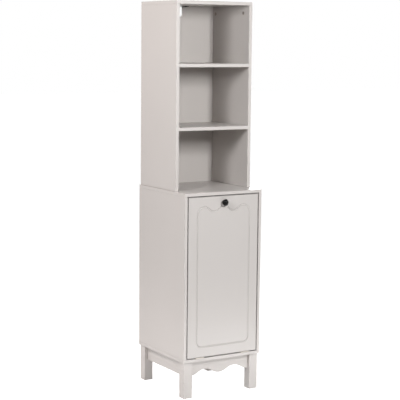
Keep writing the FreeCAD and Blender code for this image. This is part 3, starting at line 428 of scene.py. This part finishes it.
# Screws: steel screws with a cross recess in the head and a rolled thread.
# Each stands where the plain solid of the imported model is, with that solid's length and head.
BRIGHT_STEEL = (0.5, 0.48, 0.45, 1.0)
DARK_BRONZE = (0.035, 0.030, 0.026, 1.0)
WELD_REACH = 1e-6
SCREW_END = 0.1
HEAD_MATCH = 0.99
SHANK_FROM = 0.6
SHANK_MATCH = 1.02
SCREW_SIDES = 24
HEAD_STEPS = 9
THREAD_PITCH = 0.0013
THREAD_STEPS = 4
THREAD_DEPTH = 0.22
PLAIN_SHANK = 0.9
RECESS_SHARE = 0.62
RECESS_WIDTH = 0.2
RECESS_DEPTH = 0.35
RECESS_SLOPE = 2.2
RECESS_WALL = 3.0
SHARP_ANGLE = math.radians(40)


def separate_solids(name):
    """The corner points of each separate solid of a CAD node."""
    mesh = bmesh.new()
    mesh.from_mesh(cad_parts[name].data)
    bmesh.ops.remove_doubles(mesh, verts=mesh.verts, dist=WELD_REACH)
    found = set()
    solids = []
    for first in mesh.verts:
        if first in found:
            continue
        found.add(first)
        reached = [first]
        for vertex in reached:
            for edge in vertex.link_edges:
                other = edge.other_vert(vertex)
                if other not in found:
                    found.add(other)
                    reached.append(other)
        solids.append([vertex.co.copy() for vertex in reached])
    mesh.free()
    return solids


def measure_screw(points):
    """A screw's place, directions, length, radii and depths under the top of its head."""
    low = Vector([min(point[axis] for point in points) for axis in range(3)])
    high = Vector([max(point[axis] for point in points) for axis in range(3)])
    extent = high - low
    axis = max(range(3), key=lambda number: extent[number])
    centre = (low + high) / 2
    along = Vector((0, 0, 0))
    along[axis] = 1.0
    reach = extent[axis]

    def radius(point):
        across = point - centre
        across[axis] = 0.0
        return across.length

    end = reach * SCREW_END
    near_low = max(radius(point) for point in points if point[axis] < low[axis] + end)
    near_high = max(radius(point) for point in points if point[axis] > high[axis] - end)
    if near_high > near_low:
        along = -along
    start = centre - along * (reach / 2)
    rings = [((point - start).dot(along), radius(point)) for point in points]
    head_radius = max(size for depth, size in rings)
    head_depth = max(depth for depth, size in rings if size > head_radius * HEAD_MATCH)
    shank_radius = max(size for depth, size in rings if depth > reach * SHANK_FROM)
    past_head = [ring for ring in rings if ring[0] > head_depth - WELD_REACH]
    across = along.orthogonal().normalized()
    return SimpleNamespace(
        start=start,
        along=along,
        across=across,
        third=along.cross(across),
        reach=reach,
        head_radius=head_radius,
        head_depth=head_depth,
        shank_radius=shank_radius,
        shank_start=min(depth for depth, size in past_head if size < shank_radius * SHANK_MATCH),
    )


def screw_point(screw, side, size, depth):
    """A point on a screw from the number of its side, its distance from the middle line and its depth."""
    angle = math.tau * side / SCREW_SIDES
    spoke = screw.across * math.cos(angle) + screw.third * math.sin(angle)
    return screw.start + spoke * size + screw.along * depth


def head_dip(side, share):
    """How deep the cross recess is at a share of the head's radius, as a share from 0 to 1."""
    angle = math.tau * side / SCREW_SIDES
    x = abs(share * math.cos(angle))
    y = abs(share * math.sin(angle))
    slope = max(0.0, 1.0 - max(x, y) / RECESS_SHARE) * RECESS_SLOPE
    wall = (1.0 - min(x, y) / RECESS_WIDTH) * RECESS_WALL
    return min(1.0, slope) * max(0.0, min(1.0, wall))


def head_rings(screw):
    """Rings of points from the middle of a screw's head to its edge, with the cross recess."""
    rings = []
    for step in range(1, HEAD_STEPS + 1):
        share = step / HEAD_STEPS
        ring = []
        for side in range(SCREW_SIDES):
            dip = screw.head_radius * RECESS_DEPTH * head_dip(side, share)
            dome = screw.head_depth * share ** 2
            ring.append(screw_point(screw, side, screw.head_radius * share, dome + dip))
        rings.append(ring)
    return rings


def thread_rings(screw):
    """Rings of points from a screw's head to its tip, which rise and fall with the thread."""
    span = screw.reach - screw.shank_radius - screw.shank_start
    last = max(1, round(span / THREAD_PITCH)) * THREAD_STEPS
    rings = []
    for step in range(last + 1):
        ring = []
        for side in range(SCREW_SIDES):
            turn = (step / THREAD_STEPS + side / SCREW_SIDES) % 1.0
            ridge = 1.0 - THREAD_DEPTH * abs(2.0 * turn - 1.0)
            size = screw.shank_radius * (ridge if 0 < step < last else PLAIN_SHANK)
            ring.append(screw_point(screw, side, size, screw.shank_start + span * step / last))
        rings.append(ring)
    return rings


def join_rings(mesh, rings):
    """The faces between rings of points that follow each other."""
    for ring, following in zip(rings, rings[1:]):
        for side in range(len(ring)):
            mesh.faces.new((ring[side - 1], ring[side], following[side], following[side - 1]))


def add_piece(name, mesh, material, creases=True):
    """Turns a mesh under construction into a smooth object with a material, and creases at sharp edges."""
    data = bpy.data.meshes.new(name)
    mesh.to_mesh(data)
    mesh.free()
    data.materials.append(material)
    piece = bpy.data.objects.new(name, data)
    bpy.context.scene.collection.objects.link(piece)
    data.shade_smooth()
    if creases:
        data.set_sharp_from_angle(angle=SHARP_ANGLE)
    return piece


def make_screws(name, node, body, material):
    """Detailed screws in the place of a CAD node's plain ones."""
    mesh = bmesh.new()
    for points in separate_solids(node):
        screw = measure_screw(points)
        middle = mesh.verts.new(screw.start + screw.along * screw.head_radius * RECESS_DEPTH)
        tip = mesh.verts.new(screw.start + screw.along * screw.reach)
        rings = [
            [mesh.verts.new(point) for point in ring] for ring in head_rings(screw) + thread_rings(screw)
        ]
        join_rings(mesh, rings)
        for side in range(SCREW_SIDES):
            mesh.faces.new((middle, rings[0][side], rings[0][side - 1]))
            mesh.faces.new((tip, rings[-1][side - 1], rings[-1][side]))
    bmesh.ops.recalc_face_normals(mesh, faces=mesh.faces)
    piece = add_piece(name, mesh, material)
    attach(piece, body)
    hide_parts(node)
    return piece


bright_steel = make_metal("zinc_plated_steel", BRIGHT_STEEL, cloud=0.24, sheen=0.32, sand=0.6)
dark_bronze = make_metal("dark_bronze_coat", DARK_BRONZE, cloud=0.6, sheen=0.45, sand=1.0, metallic=0.4)
for screw_node, screw_body, screw_metal, screw_slot in (
    ("base_screws", "cabinet", bright_steel, "hinge_steel"),
    ("hinge_screws_cabinet", "cabinet", nickel, "hinge_steel"),
    ("hinge_screws_door", "door", nickel, "hinge_steel"),
    ("knob_screw", "door", bright_steel, "hinge_steel"),
    ("catch_screws", "cabinet", bright_steel, "hinge_steel"),
    ("strike_screw", "door", bright_steel, "hinge_steel"),
    ("brace_screws", "cabinet", bright_steel, "hinge_steel"),
    ("anti_tip_screws", "cabinet", dark_bronze, "dark_steel"),
):
    make_screws("driven_" + screw_node, screw_node, screw_body, screw_metal)

# Catch: a moulded white plastic housing with a ferrite magnet, screwed under the rail behind the door's top.
# Two soft pads on the rail meet the closing door.
CATCH_WHITE = (0.72, 0.72, 0.69, 1.0)
FERRITE = (0.03, 0.03, 0.032, 1.0)
PAD_MILK = (0.55, 0.54, 0.51, 1.0)
MILKY_DEPTH = 0.002


def make_moulded(name, colour, sheen, milkiness=0.0):
    material, tree, shader = new_material(name)
    shader.inputs["Subsurface Weight"].default_value = milkiness
    shader.inputs["Subsurface Scale"].default_value = MILKY_DEPTH
    surface = use_effect(tree, paint_film_and_shade, Colour=colour, Drift=0.04, Sheen=sheen, Mottle=0.15)
    connect(tree, shader, surface, bump_strength=0.3, bump_depth=0.0001)
    return material


ferrite = make_metal("ferrite", FERRITE, cloud=0.6, sheen=0.6, sand=1.0, metallic=0.2)
finish_nodes(make_moulded("white_catch_plastic", CATCH_WHITE, sheen=0.45), ["catch_body"])
finish_nodes(ferrite, ["catch_magnet"])
finish_nodes(make_moulded("soft_pad", PAD_MILK, sheen=0.35, milkiness=0.3), ["door_bumpers"])

# Wings: two painted boards that stand out behind the door, with curved tops that clear the rail.
# Slots in their inner faces hold the two steel rods of the laundry bag, which are coated white.
ROD_WHITE = (0.72, 0.71, 0.68, 1.0)
finish_nodes(painted_board, ["wing_left", "wing_right"])
finish_nodes(make_moulded("white_powder_coat", ROD_WHITE, sheen=0.32), ["bag_rod_front", "bag_rod_rear"])

# Laundry bag: an open bag of natural cotton canvas, sewn from a long strip and two side pieces.
# The strip is its front, bottom and rear, with a sleeve at each end that hangs on a rod.
# The hemmed top edges of the side pieces are free and sag.
CANVAS = (0.55, 0.485, 0.38, 1.0)
CANVAS_DARK = (0.40, 0.34, 0.255, 1.0)
THREAD_PALE = (0.66, 0.61, 0.52, 1.0)
WEAVE_PITCH = 0.0011
WEAVE_SHARE = 0.5
WEAVE_FACING = 0.7
SLUB_SCALE = 130.0
SLUB_SHARE = 0.55
SLUB_ROUGHNESS = 0.1
CANVAS_ROUGHNESS = 0.82
CLOTH_THICK = 0.0013
HEM_LAYERS = 2
SLEEVE_GAP = 0.0003
SLEEVE_DROP = 0.022
SLEEVE_FLAP = 0.006
SLEEVE_LAP = 1.2
SLEEVE_HOLLOW = 0.003
SLEEVE_STEPS = 8
SLEEVE_INSET_STEPS = 3
SIDE_DIP = 0.028
BAG_ROUND = 0.03
BAG_SIDE_ROOM = 0.005
BAG_SPAN_STEPS = 24
BAG_DEPTH_STEPS = 20
BAG_HEIGHT_STEPS = 42
CLOTH_FRAMES = 45
CLOTH_SLACK = -0.015
CLOTH_MARGIN = 0.006
STITCH_LENGTH = 0.0032
STITCH_PITCH = 0.0048
STITCH_RADIUS = 0.00042
STITCH_SIDES = 6
STITCH_LIFT = 0.4
STITCH_FORM = ((-0.5, 0.35), (-0.25, 0.9), (0.25, 0.9), (0.5, 0.35))


def rod_place(name):
    """A rod's middle as Y and Z."""
    low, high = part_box(name)
    return (low[1] + high[1]) / 2, (low[2] + high[2]) / 2


front_rod_y, front_rod_z = rod_place("bag_rod_front")
rear_rod_y, rear_rod_z = rod_place("bag_rod_rear")
rod_low, rod_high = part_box("bag_rod_rear")
sleeve_radius = (rod_high[1] - rod_low[1]) / 2 + SLEEVE_GAP + CLOTH_THICK / 2
bag_low, bag_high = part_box("laundry_bag")
bag_half = bag_high[0] - BAG_SIDE_ROOM
bag_floor = bag_low[2] + CLOTH_THICK
bag_front = front_rod_y - sleeve_radius
bag_rear = rear_rod_y + sleeve_radius
front_seam_z = front_rod_z - SLEEVE_DROP
rear_seam_z = rear_rod_z - SLEEVE_DROP


def bag_point(span, depth, height):
    """A point of the bag before it sags, from shares of its width, depth and height."""
    fall = front_seam_z + (rear_seam_z - front_seam_z) * depth
    top = fall - SIDE_DIP * math.sin(math.pi * depth)
    point = Vector((
        bag_half * (2 * span - 1),
        bag_front + (bag_rear - bag_front) * depth,
        bag_floor + (top - bag_floor) * height,
    ))
    nearest = Vector((
        max(-bag_half + BAG_ROUND, min(bag_half - BAG_ROUND, point.x)),
        max(bag_front + BAG_ROUND, min(bag_rear - BAG_ROUND, point.y)),
        max(bag_floor + BAG_ROUND, point.z),
    ))
    off = point - nearest
    return nearest + off.normalized() * BAG_ROUND if off.length > BAG_ROUND else point


def sleeve_profile(wall, inward, rod_y, rod_z, seam_z):
    """A sleeve's section from the seam, round the rod and back to its flap, as Y and Z."""
    half_way = (seam_z + rod_z) / 2
    section = [(wall, half_way), (wall, rod_z)]
    for step in range(1, SLEEVE_STEPS):
        turn = math.pi * step / SLEEVE_STEPS
        y = rod_y - inward * sleeve_radius * math.cos(turn)
        section.append((y, rod_z + sleeve_radius * math.sin(turn)))
    inner = rod_y + inward * sleeve_radius
    lapped = wall + inward * CLOTH_THICK * SLEEVE_LAP
    section.append((inner, rod_z))
    section.append(((inner + lapped) / 2, half_way - SLEEVE_HOLLOW))
    section.append((lapped, seam_z))
    section.append((lapped, seam_z - SLEEVE_FLAP))
    return section


def build_bag():
    """The bag's cloth before it sags, and the numbers of its points in the sleeves, rims and hems."""
    mesh = bmesh.new()
    points = {}

    def corner(i, j, k):
        if (i, j, k) not in points:
            shares = (i / BAG_SPAN_STEPS, j / BAG_DEPTH_STEPS, k / BAG_HEIGHT_STEPS)
            points[i, j, k] = mesh.verts.new(bag_point(*shares))
        return points[i, j, k]

    def panel(first, second, place):
        for a in range(first):
            for b in range(second):
                around = ((a, b), (a + 1, b), (a + 1, b + 1), (a, b + 1))
                mesh.faces.new([corner(*place(u, v)) for u, v in around])

    panel(BAG_SPAN_STEPS, BAG_DEPTH_STEPS, lambda a, b: (a, b, 0))
    for j in (0, BAG_DEPTH_STEPS):
        panel(BAG_SPAN_STEPS, BAG_HEIGHT_STEPS, lambda a, b: (a, j, b))
    for i in (0, BAG_SPAN_STEPS):
        panel(BAG_DEPTH_STEPS, BAG_HEIGHT_STEPS, lambda a, b: (i, a, b))
    held = []
    sleeve_columns = range(SLEEVE_INSET_STEPS, BAG_SPAN_STEPS - SLEEVE_INSET_STEPS + 1)
    for j, wall, inward, rod_y, rod_z, seam_z in (
        (0, bag_front, 1.0, front_rod_y, front_rod_z, front_seam_z),
        (BAG_DEPTH_STEPS, bag_rear, -1.0, rear_rod_y, rear_rod_z, rear_seam_z),
    ):
        before = [corner(i, j, BAG_HEIGHT_STEPS) for i in sleeve_columns]
        held += before
        for y, z in sleeve_profile(wall, inward, rod_y, rod_z, seam_z):
            row = [mesh.verts.new((vertex.co.x, y, z)) for vertex in before]
            for a in range(len(row) - 1):
                mesh.faces.new((before[a], before[a + 1], row[a + 1], row[a]))
            held += row
            before = row
    bmesh.ops.recalc_face_normals(mesh, faces=mesh.faces)
    mesh.verts.index_update()
    held_numbers = [vertex.index for vertex in held]
    hem_start = BAG_HEIGHT_STEPS - 1
    rims = [
        [corner(i, j, hem_start).index for j in range(1, BAG_DEPTH_STEPS)] for i in (0, BAG_SPAN_STEPS)
    ]
    hems = [points[i, j, k].index for i, j, k in points if k >= hem_start]
    return mesh, held_numbers, rims, hems


def sag_bag(bag, held_numbers):
    """Lets the bag hang from its sleeves by cloth simulation, and keeps the result in its mesh."""
    grip = bag.vertex_groups.new(name="held")
    grip.add(held_numbers, 1.0, "REPLACE")
    cloth = bag.modifiers.new("sag", "CLOTH")
    fabric = cloth.settings
    fabric.quality = 6
    fabric.mass = 0.02
    fabric.tension_stiffness = 25.0
    fabric.compression_stiffness = 20.0
    fabric.shear_stiffness = 8.0
    fabric.bending_stiffness = 2.5
    fabric.air_damping = 3.0
    fabric.vertex_group_mass = "held"
    fabric.shrink_min = CLOTH_SLACK
    fabric.shrink_max = CLOTH_SLACK
    scene = bpy.context.scene
    cloth.point_cache.frame_start = 1
    cloth.point_cache.frame_end = CLOTH_FRAMES
    for number in range(1, CLOTH_FRAMES + 1):
        scene.frame_set(number)
    hung = bag.evaluated_get(bpy.context.evaluated_depsgraph_get()).data
    places = [vertex.co.copy() for vertex in hung.vertices]
    bag.modifiers.remove(cloth)
    scene.frame_set(1)
    for vertex, place in zip(bag.data.vertices, places):
        vertex.co = (
            max(bag_low[0] - CLOTH_MARGIN, min(bag_high[0] + CLOTH_MARGIN, place.x)),
            max(bag_low[1], min(bag_high[1] + CLOTH_MARGIN, place.y)),
            max(bag_low[2] - CLOTH_MARGIN, place.z),
        )


def make_weave():
    """A plain weave seen from any side: threads over and under each other, with slubs and soft shade."""
    group, given, results = new_effect(
        "plain_weave", {"Light": CANVAS, "Dark": CANVAS_DARK, "Pitch": WEAVE_PITCH}
    )
    coordinates = add_node(group, "TexCoord").outputs
    place = add_node(group, "SeparateXYZ", Vector=coordinates["Object"]).outputs
    facing = add_node(group, "SeparateXYZ", Vector=coordinates["Normal"]).outputs
    turn = calculate(group, "DIVIDE", math.tau, given["Pitch"])
    wave = {}
    square_on = {}
    for axis in "XYZ":
        wave[axis] = calculate(group, "SINE", calculate(group, "MULTIPLY", place[axis], turn))
        lean = calculate(group, "ABSOLUTE", facing[axis])
        square_on[axis] = calculate(group, "GREATER_THAN", lean, WEAVE_FACING)
    crossings = []
    for axis, first, second in (("X", "Y", "Z"), ("Y", "X", "Z"), ("Z", "X", "Y")):
        crossing = calculate(group, "MULTIPLY", wave[first], wave[second])
        crossings.append(calculate(group, "MULTIPLY", crossing, square_on[axis]))
    total = calculate(group, "ADD", calculate(group, "ADD", crossings[0], crossings[1]), crossings[2])
    over = calculate(group, "MULTIPLY_ADD", total, 0.5, 0.5)
    slub = noise(group, coordinates["Object"], SLUB_SCALE, detail=3.0)
    woven = calculate(group, "MULTIPLY", over, WEAVE_SHARE)
    share = calculate(group, "MULTIPLY_ADD", slub, SLUB_SHARE, woven)
    put_out(
        group,
        results,
        Colour=blend_colours(group, share, given["Dark"], given["Light"]),
        Roughness=calculate(group, "MULTIPLY_ADD", slub, SLUB_ROUGHNESS, CANVAS_ROUGHNESS),
        Height=share,
    )
    return group


def make_canvas():
    material, tree, shader = new_material("cotton_canvas")
    shader.inputs["Sheen Weight"].default_value = 0.25
    shader.inputs["Sheen Roughness"].default_value = 0.5
    surface = use_effect(tree, make_weave(), Light=CANVAS, Dark=CANVAS_DARK, Pitch=WEAVE_PITCH)
    connect(tree, shader, surface, bump_strength=0.5, bump_depth=0.0003)
    return material


def make_thread():
    material, tree, shader = new_material("sewing_thread")
    surface = use_effect(tree, fibre, Light=THREAD_PALE, Dark=CANVAS, Streaks=1500.0, Stretch=1.0)
    connect(tree, shader, surface, bump_strength=0.4, bump_depth=0.0001)
    return material


def add_stitches(mesh, line, outward):
    """A row of stitches along a line of points, sunk a little into the cloth."""
    lengths = [0.0]
    for a, b in zip(line, line[1:]):
        lengths.append(lengths[-1] + (b - a).length)
    for number in range(int(lengths[-1] / STITCH_PITCH)):
        middle = STITCH_PITCH * (number + 0.5)
        span = next(k for k in range(len(lengths) - 1) if lengths[k + 1] >= middle)
        a, b = line[span], line[span + 1]
        along = (b - a).normalized()
        third = along.cross(outward).normalized()
        centre = a + along * (middle - lengths[span]) + outward * STITCH_RADIUS * STITCH_LIFT
        rings = []
        for share, girth in STITCH_FORM:
            hub = centre + along * STITCH_LENGTH * share
            ring = []
            for side in range(STITCH_SIDES):
                angle = math.tau * side / STITCH_SIDES
                spoke = outward * math.cos(angle) + third * math.sin(angle)
                ring.append(mesh.verts.new(hub + spoke * STITCH_RADIUS * girth))
            rings.append(ring)
        mesh.faces.new(rings[0][::-1])
        mesh.faces.new(rings[-1])
        join_rings(mesh, rings)


def make_stitches(bag, rims):
    """The stitches of the sleeves' seams and of the hems along the bag's sides."""
    mesh = bmesh.new()
    reach = bag_half - BAG_ROUND
    for wall, outward, seam_z in ((bag_front, -1.0, front_seam_z), (bag_rear, 1.0, rear_seam_z)):
        face = wall + outward * CLOTH_THICK / 2
        line = [Vector((-reach, face, seam_z)), Vector((reach, face, seam_z))]
        add_stitches(mesh, line, Vector((0.0, outward, 0.0)))
    for rim, outward in zip(rims, (-1.0, 1.0)):
        lift = Vector((outward * CLOTH_THICK, 0.0, 0.0))
        line = [bag.data.vertices[number].co + lift for number in rim]
        add_stitches(mesh, line, Vector((outward, 0.0, 0.0)))
    return add_piece("bag_stitches", mesh, make_thread())


def make_bag():
    mesh, held_numbers, rims, hems = build_bag()
    bag = add_piece("canvas_laundry_bag", mesh, make_canvas(), creases=False)
    sag_bag(bag, held_numbers)
    layers = bag.vertex_groups.new(name="hem")
    layers.add(range(len(bag.data.vertices)), 1.0 / HEM_LAYERS, "REPLACE")
    layers.add(hems, 1.0, "REPLACE")
    body = bag.modifiers.new("cloth_body", "SOLIDIFY")
    body.thickness = CLOTH_THICK * HEM_LAYERS
    body.offset = 0.0
    body.vertex_group = "hem"
    smooth = bag.modifiers.new("smooth", "SUBSURF")
    smooth.levels = 1
    smooth.render_levels = 1
    stitches = make_stitches(bag, rims)
    for piece in (bag, stitches):
        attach(piece, "door")
    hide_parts("laundry_bag")


make_bag()

# Upper unit: sides, two fixed shelves and top of painted fibreboard, standing on the lower cabinet's top.
# Dowels and cam fittings join them. The unit is a little narrower than the lower cabinet, and its rear
# edges are 3 mm in front of the lower cabinet's.
upper_boards = [
    "upper_top_panel",
    "upper_left_panel",
    "upper_right_panel",
    "upper_shelf_top",
    "upper_shelf_bottom",
]
finish_nodes(painted_board, upper_boards)

# Braces and wall tie: two zinc-plated corner braces behind the upper back panel hold the units together.
# A loop of dark coated steel strip under the top panel takes the strap that ties the cabinet to the wall.
finish_nodes(bright_steel, ["joining_braces"])
finish_nodes(dark_bronze, ["anti_tip_loop"])

# Floor: a wide pale matt sheet under the legs, which isn't part of the cabinet.
# It glows so that it looks white to the camera and in gloss, and it keeps the cabinet's shadow.
FLOOR_REACH = 30.0
FLOOR_TONE = (0.6, 0.6, 0.6, 1.0)
FLOOR_GLOW = 0.93
WHITE = (1.0, 1.0, 1.0, 1.0)


def seen_share(tree):
    """1 where the camera looks, directly, in gloss or through glass, and 0 for other light."""
    rays = add_node(tree, "LightPath").outputs
    seen = calculate(tree, "MAXIMUM", rays["Is Camera Ray"], rays["Is Glossy Ray"])
    return calculate(tree, "MAXIMUM", seen, rays["Is Transmission Ray"])


def make_floor_white():
    material, tree, shader = new_material("studio_floor")
    shader.inputs["Base Color"].default_value = FLOOR_TONE
    shader.inputs["Roughness"].default_value = 0.9
    shader.inputs["Emission Color"].default_value = WHITE
    glow = calculate(tree, "MULTIPLY", seen_share(tree), FLOOR_GLOW)
    feed(tree, shader.inputs["Emission Strength"], glow)
    return material


def make_floor():
    mesh = bmesh.new()
    corners = [(-1, -1), (1, -1), (1, 1), (-1, 1)]
    mesh.faces.new([mesh.verts.new((x * FLOOR_REACH, y * FLOOR_REACH, 0.0)) for x, y in corners])
    floor = add_piece("studio_floor", mesh, make_floor_white())


make_floor()

# Light: a plain white surround, a soft key lamp in front and another on the left, with a warm high fill.
# Low strip lamps stand in for the light that a bright studio floor throws back onto the base.
# Broad lamps on the right, behind and above light the sides that the photograph doesn't show.
WORLD_LEVEL = 0.03
UPPER_AIM = Vector((0.0, -0.1, 1.1))
LOWER_AIM = Vector((0.0, 0.0, 0.2))
TOP_AIM = Vector((0.0, 0.1, 1.75))
PLAIN_LIGHT = (1.0, 1.0, 1.0)
LEFT_TINT = (1.0, 0.955, 0.94)
SIDE_TINT = (1.0, 0.90, 0.86)


def light_world():
    world = bpy.data.worlds.new("white_surround")
    bpy.context.scene.world = world
    world.use_nodes = True
    tree = world.node_tree
    background = tree.nodes["Background"]
    background.inputs["Color"].default_value = WHITE
    strength = calculate(tree, "MULTIPLY_ADD", seen_share(tree), 1.0 - WORLD_LEVEL, WORLD_LEVEL)
    feed(tree, background.inputs["Strength"], strength)


def add_lamp(name, azimuth, distance, height, size, watts, aim=UPPER_AIM, tint=PLAIN_LIGHT):
    """A soft lamp aimed at the cabinet. Azimuth 0 is straight in front, positive to the right."""
    lamp = bpy.data.lights.new(name, "AREA")
    lamp.shape = "RECTANGLE"
    lamp.size, lamp.size_y = size
    lamp.energy = watts
    lamp.color = tint
    holder = bpy.data.objects.new(name, lamp)
    bpy.context.scene.collection.objects.link(holder)
    holder.visible_camera = False
    turn = math.radians(azimuth)
    holder.location = (math.sin(turn) * distance, -math.cos(turn) * distance, height)
    holder.rotation_euler = (aim - holder.location).to_track_quat("-Z", "Y").to_euler()


light_world()
add_lamp("front_key", azimuth=6, distance=2.2, height=1.9, size=(0.3, 0.55), watts=41.5)
add_lamp("left_key", azimuth=-63, distance=2.2, height=1.9, size=(0.5, 0.5), watts=30.5)
add_lamp(
    "left_high_fill",
    azimuth=-115,
    distance=2.2,
    height=2.6,
    size=(0.9, 0.5),
    watts=29.0,
    tint=SIDE_TINT,
)
add_lamp("front_strip", azimuth=8, distance=0.75, height=0.05, size=(1.0, 0.2), watts=2.0, aim=LOWER_AIM)
add_lamp(
    "left_strip",
    azimuth=-90,
    distance=0.75,
    height=0.05,
    size=(1.0, 0.2),
    watts=1.5,
    aim=LOWER_AIM,
    tint=LEFT_TINT,
)
add_lamp("right_fill", azimuth=98, distance=2.6, height=1.5, size=(1.0, 1.0), watts=16.0)
add_lamp("rear_fill", azimuth=135, distance=2.8, height=1.7, size=(1.2, 1.2), watts=35.0)
add_lamp("top_fill", azimuth=180, distance=0.8, height=3.0, size=(0.8, 0.8), watts=16.0, aim=TOP_AIM)

# Camera: the photograph's view, from the front left and a little above the cabinet's middle.
# Its place, turn and lens were fitted to the cabinet's straight edges in the photograph.
CAMERA_PLACE = Vector((-2.9279, -4.8237, 1.5678))
CAMERA_YAW = 0.54469
CAMERA_PITCH = 0.12502
CAMERA_ROLL = 0.01
CAMERA_LENS_MM = 112.306
CAMERA_SENSOR_MM = 36.0
CAMERA_SIGHT = 100.0


def make_camera():
    data = bpy.data.cameras.new("photo_camera")
    data.sensor_fit = "HORIZONTAL"
    data.sensor_width = CAMERA_SENSOR_MM
    data.lens = CAMERA_LENS_MM
    data.clip_end = CAMERA_SIGHT
    camera = bpy.data.objects.new("photo_camera", data)
    bpy.context.scene.collection.objects.link(camera)
    bpy.context.scene.camera = camera
    forward = Vector((
        math.sin(CAMERA_YAW) * math.cos(CAMERA_PITCH),
        math.cos(CAMERA_YAW) * math.cos(CAMERA_PITCH),
        -math.sin(CAMERA_PITCH),
    ))
    level_right = Vector((math.cos(CAMERA_YAW), -math.sin(CAMERA_YAW), 0.0))
    level_up = level_right.cross(forward)
    right = level_right * math.cos(CAMERA_ROLL) + level_up * math.sin(CAMERA_ROLL)
    up = level_up * math.cos(CAMERA_ROLL) - level_right * math.sin(CAMERA_ROLL)
    turn = Matrix((right, up, -forward)).transposed()
    camera.matrix_world = Matrix.Translation(CAMERA_PLACE) @ turn.to_4x4()


make_camera()
bpy.context.scene.view_settings.view_transform = "Standard"
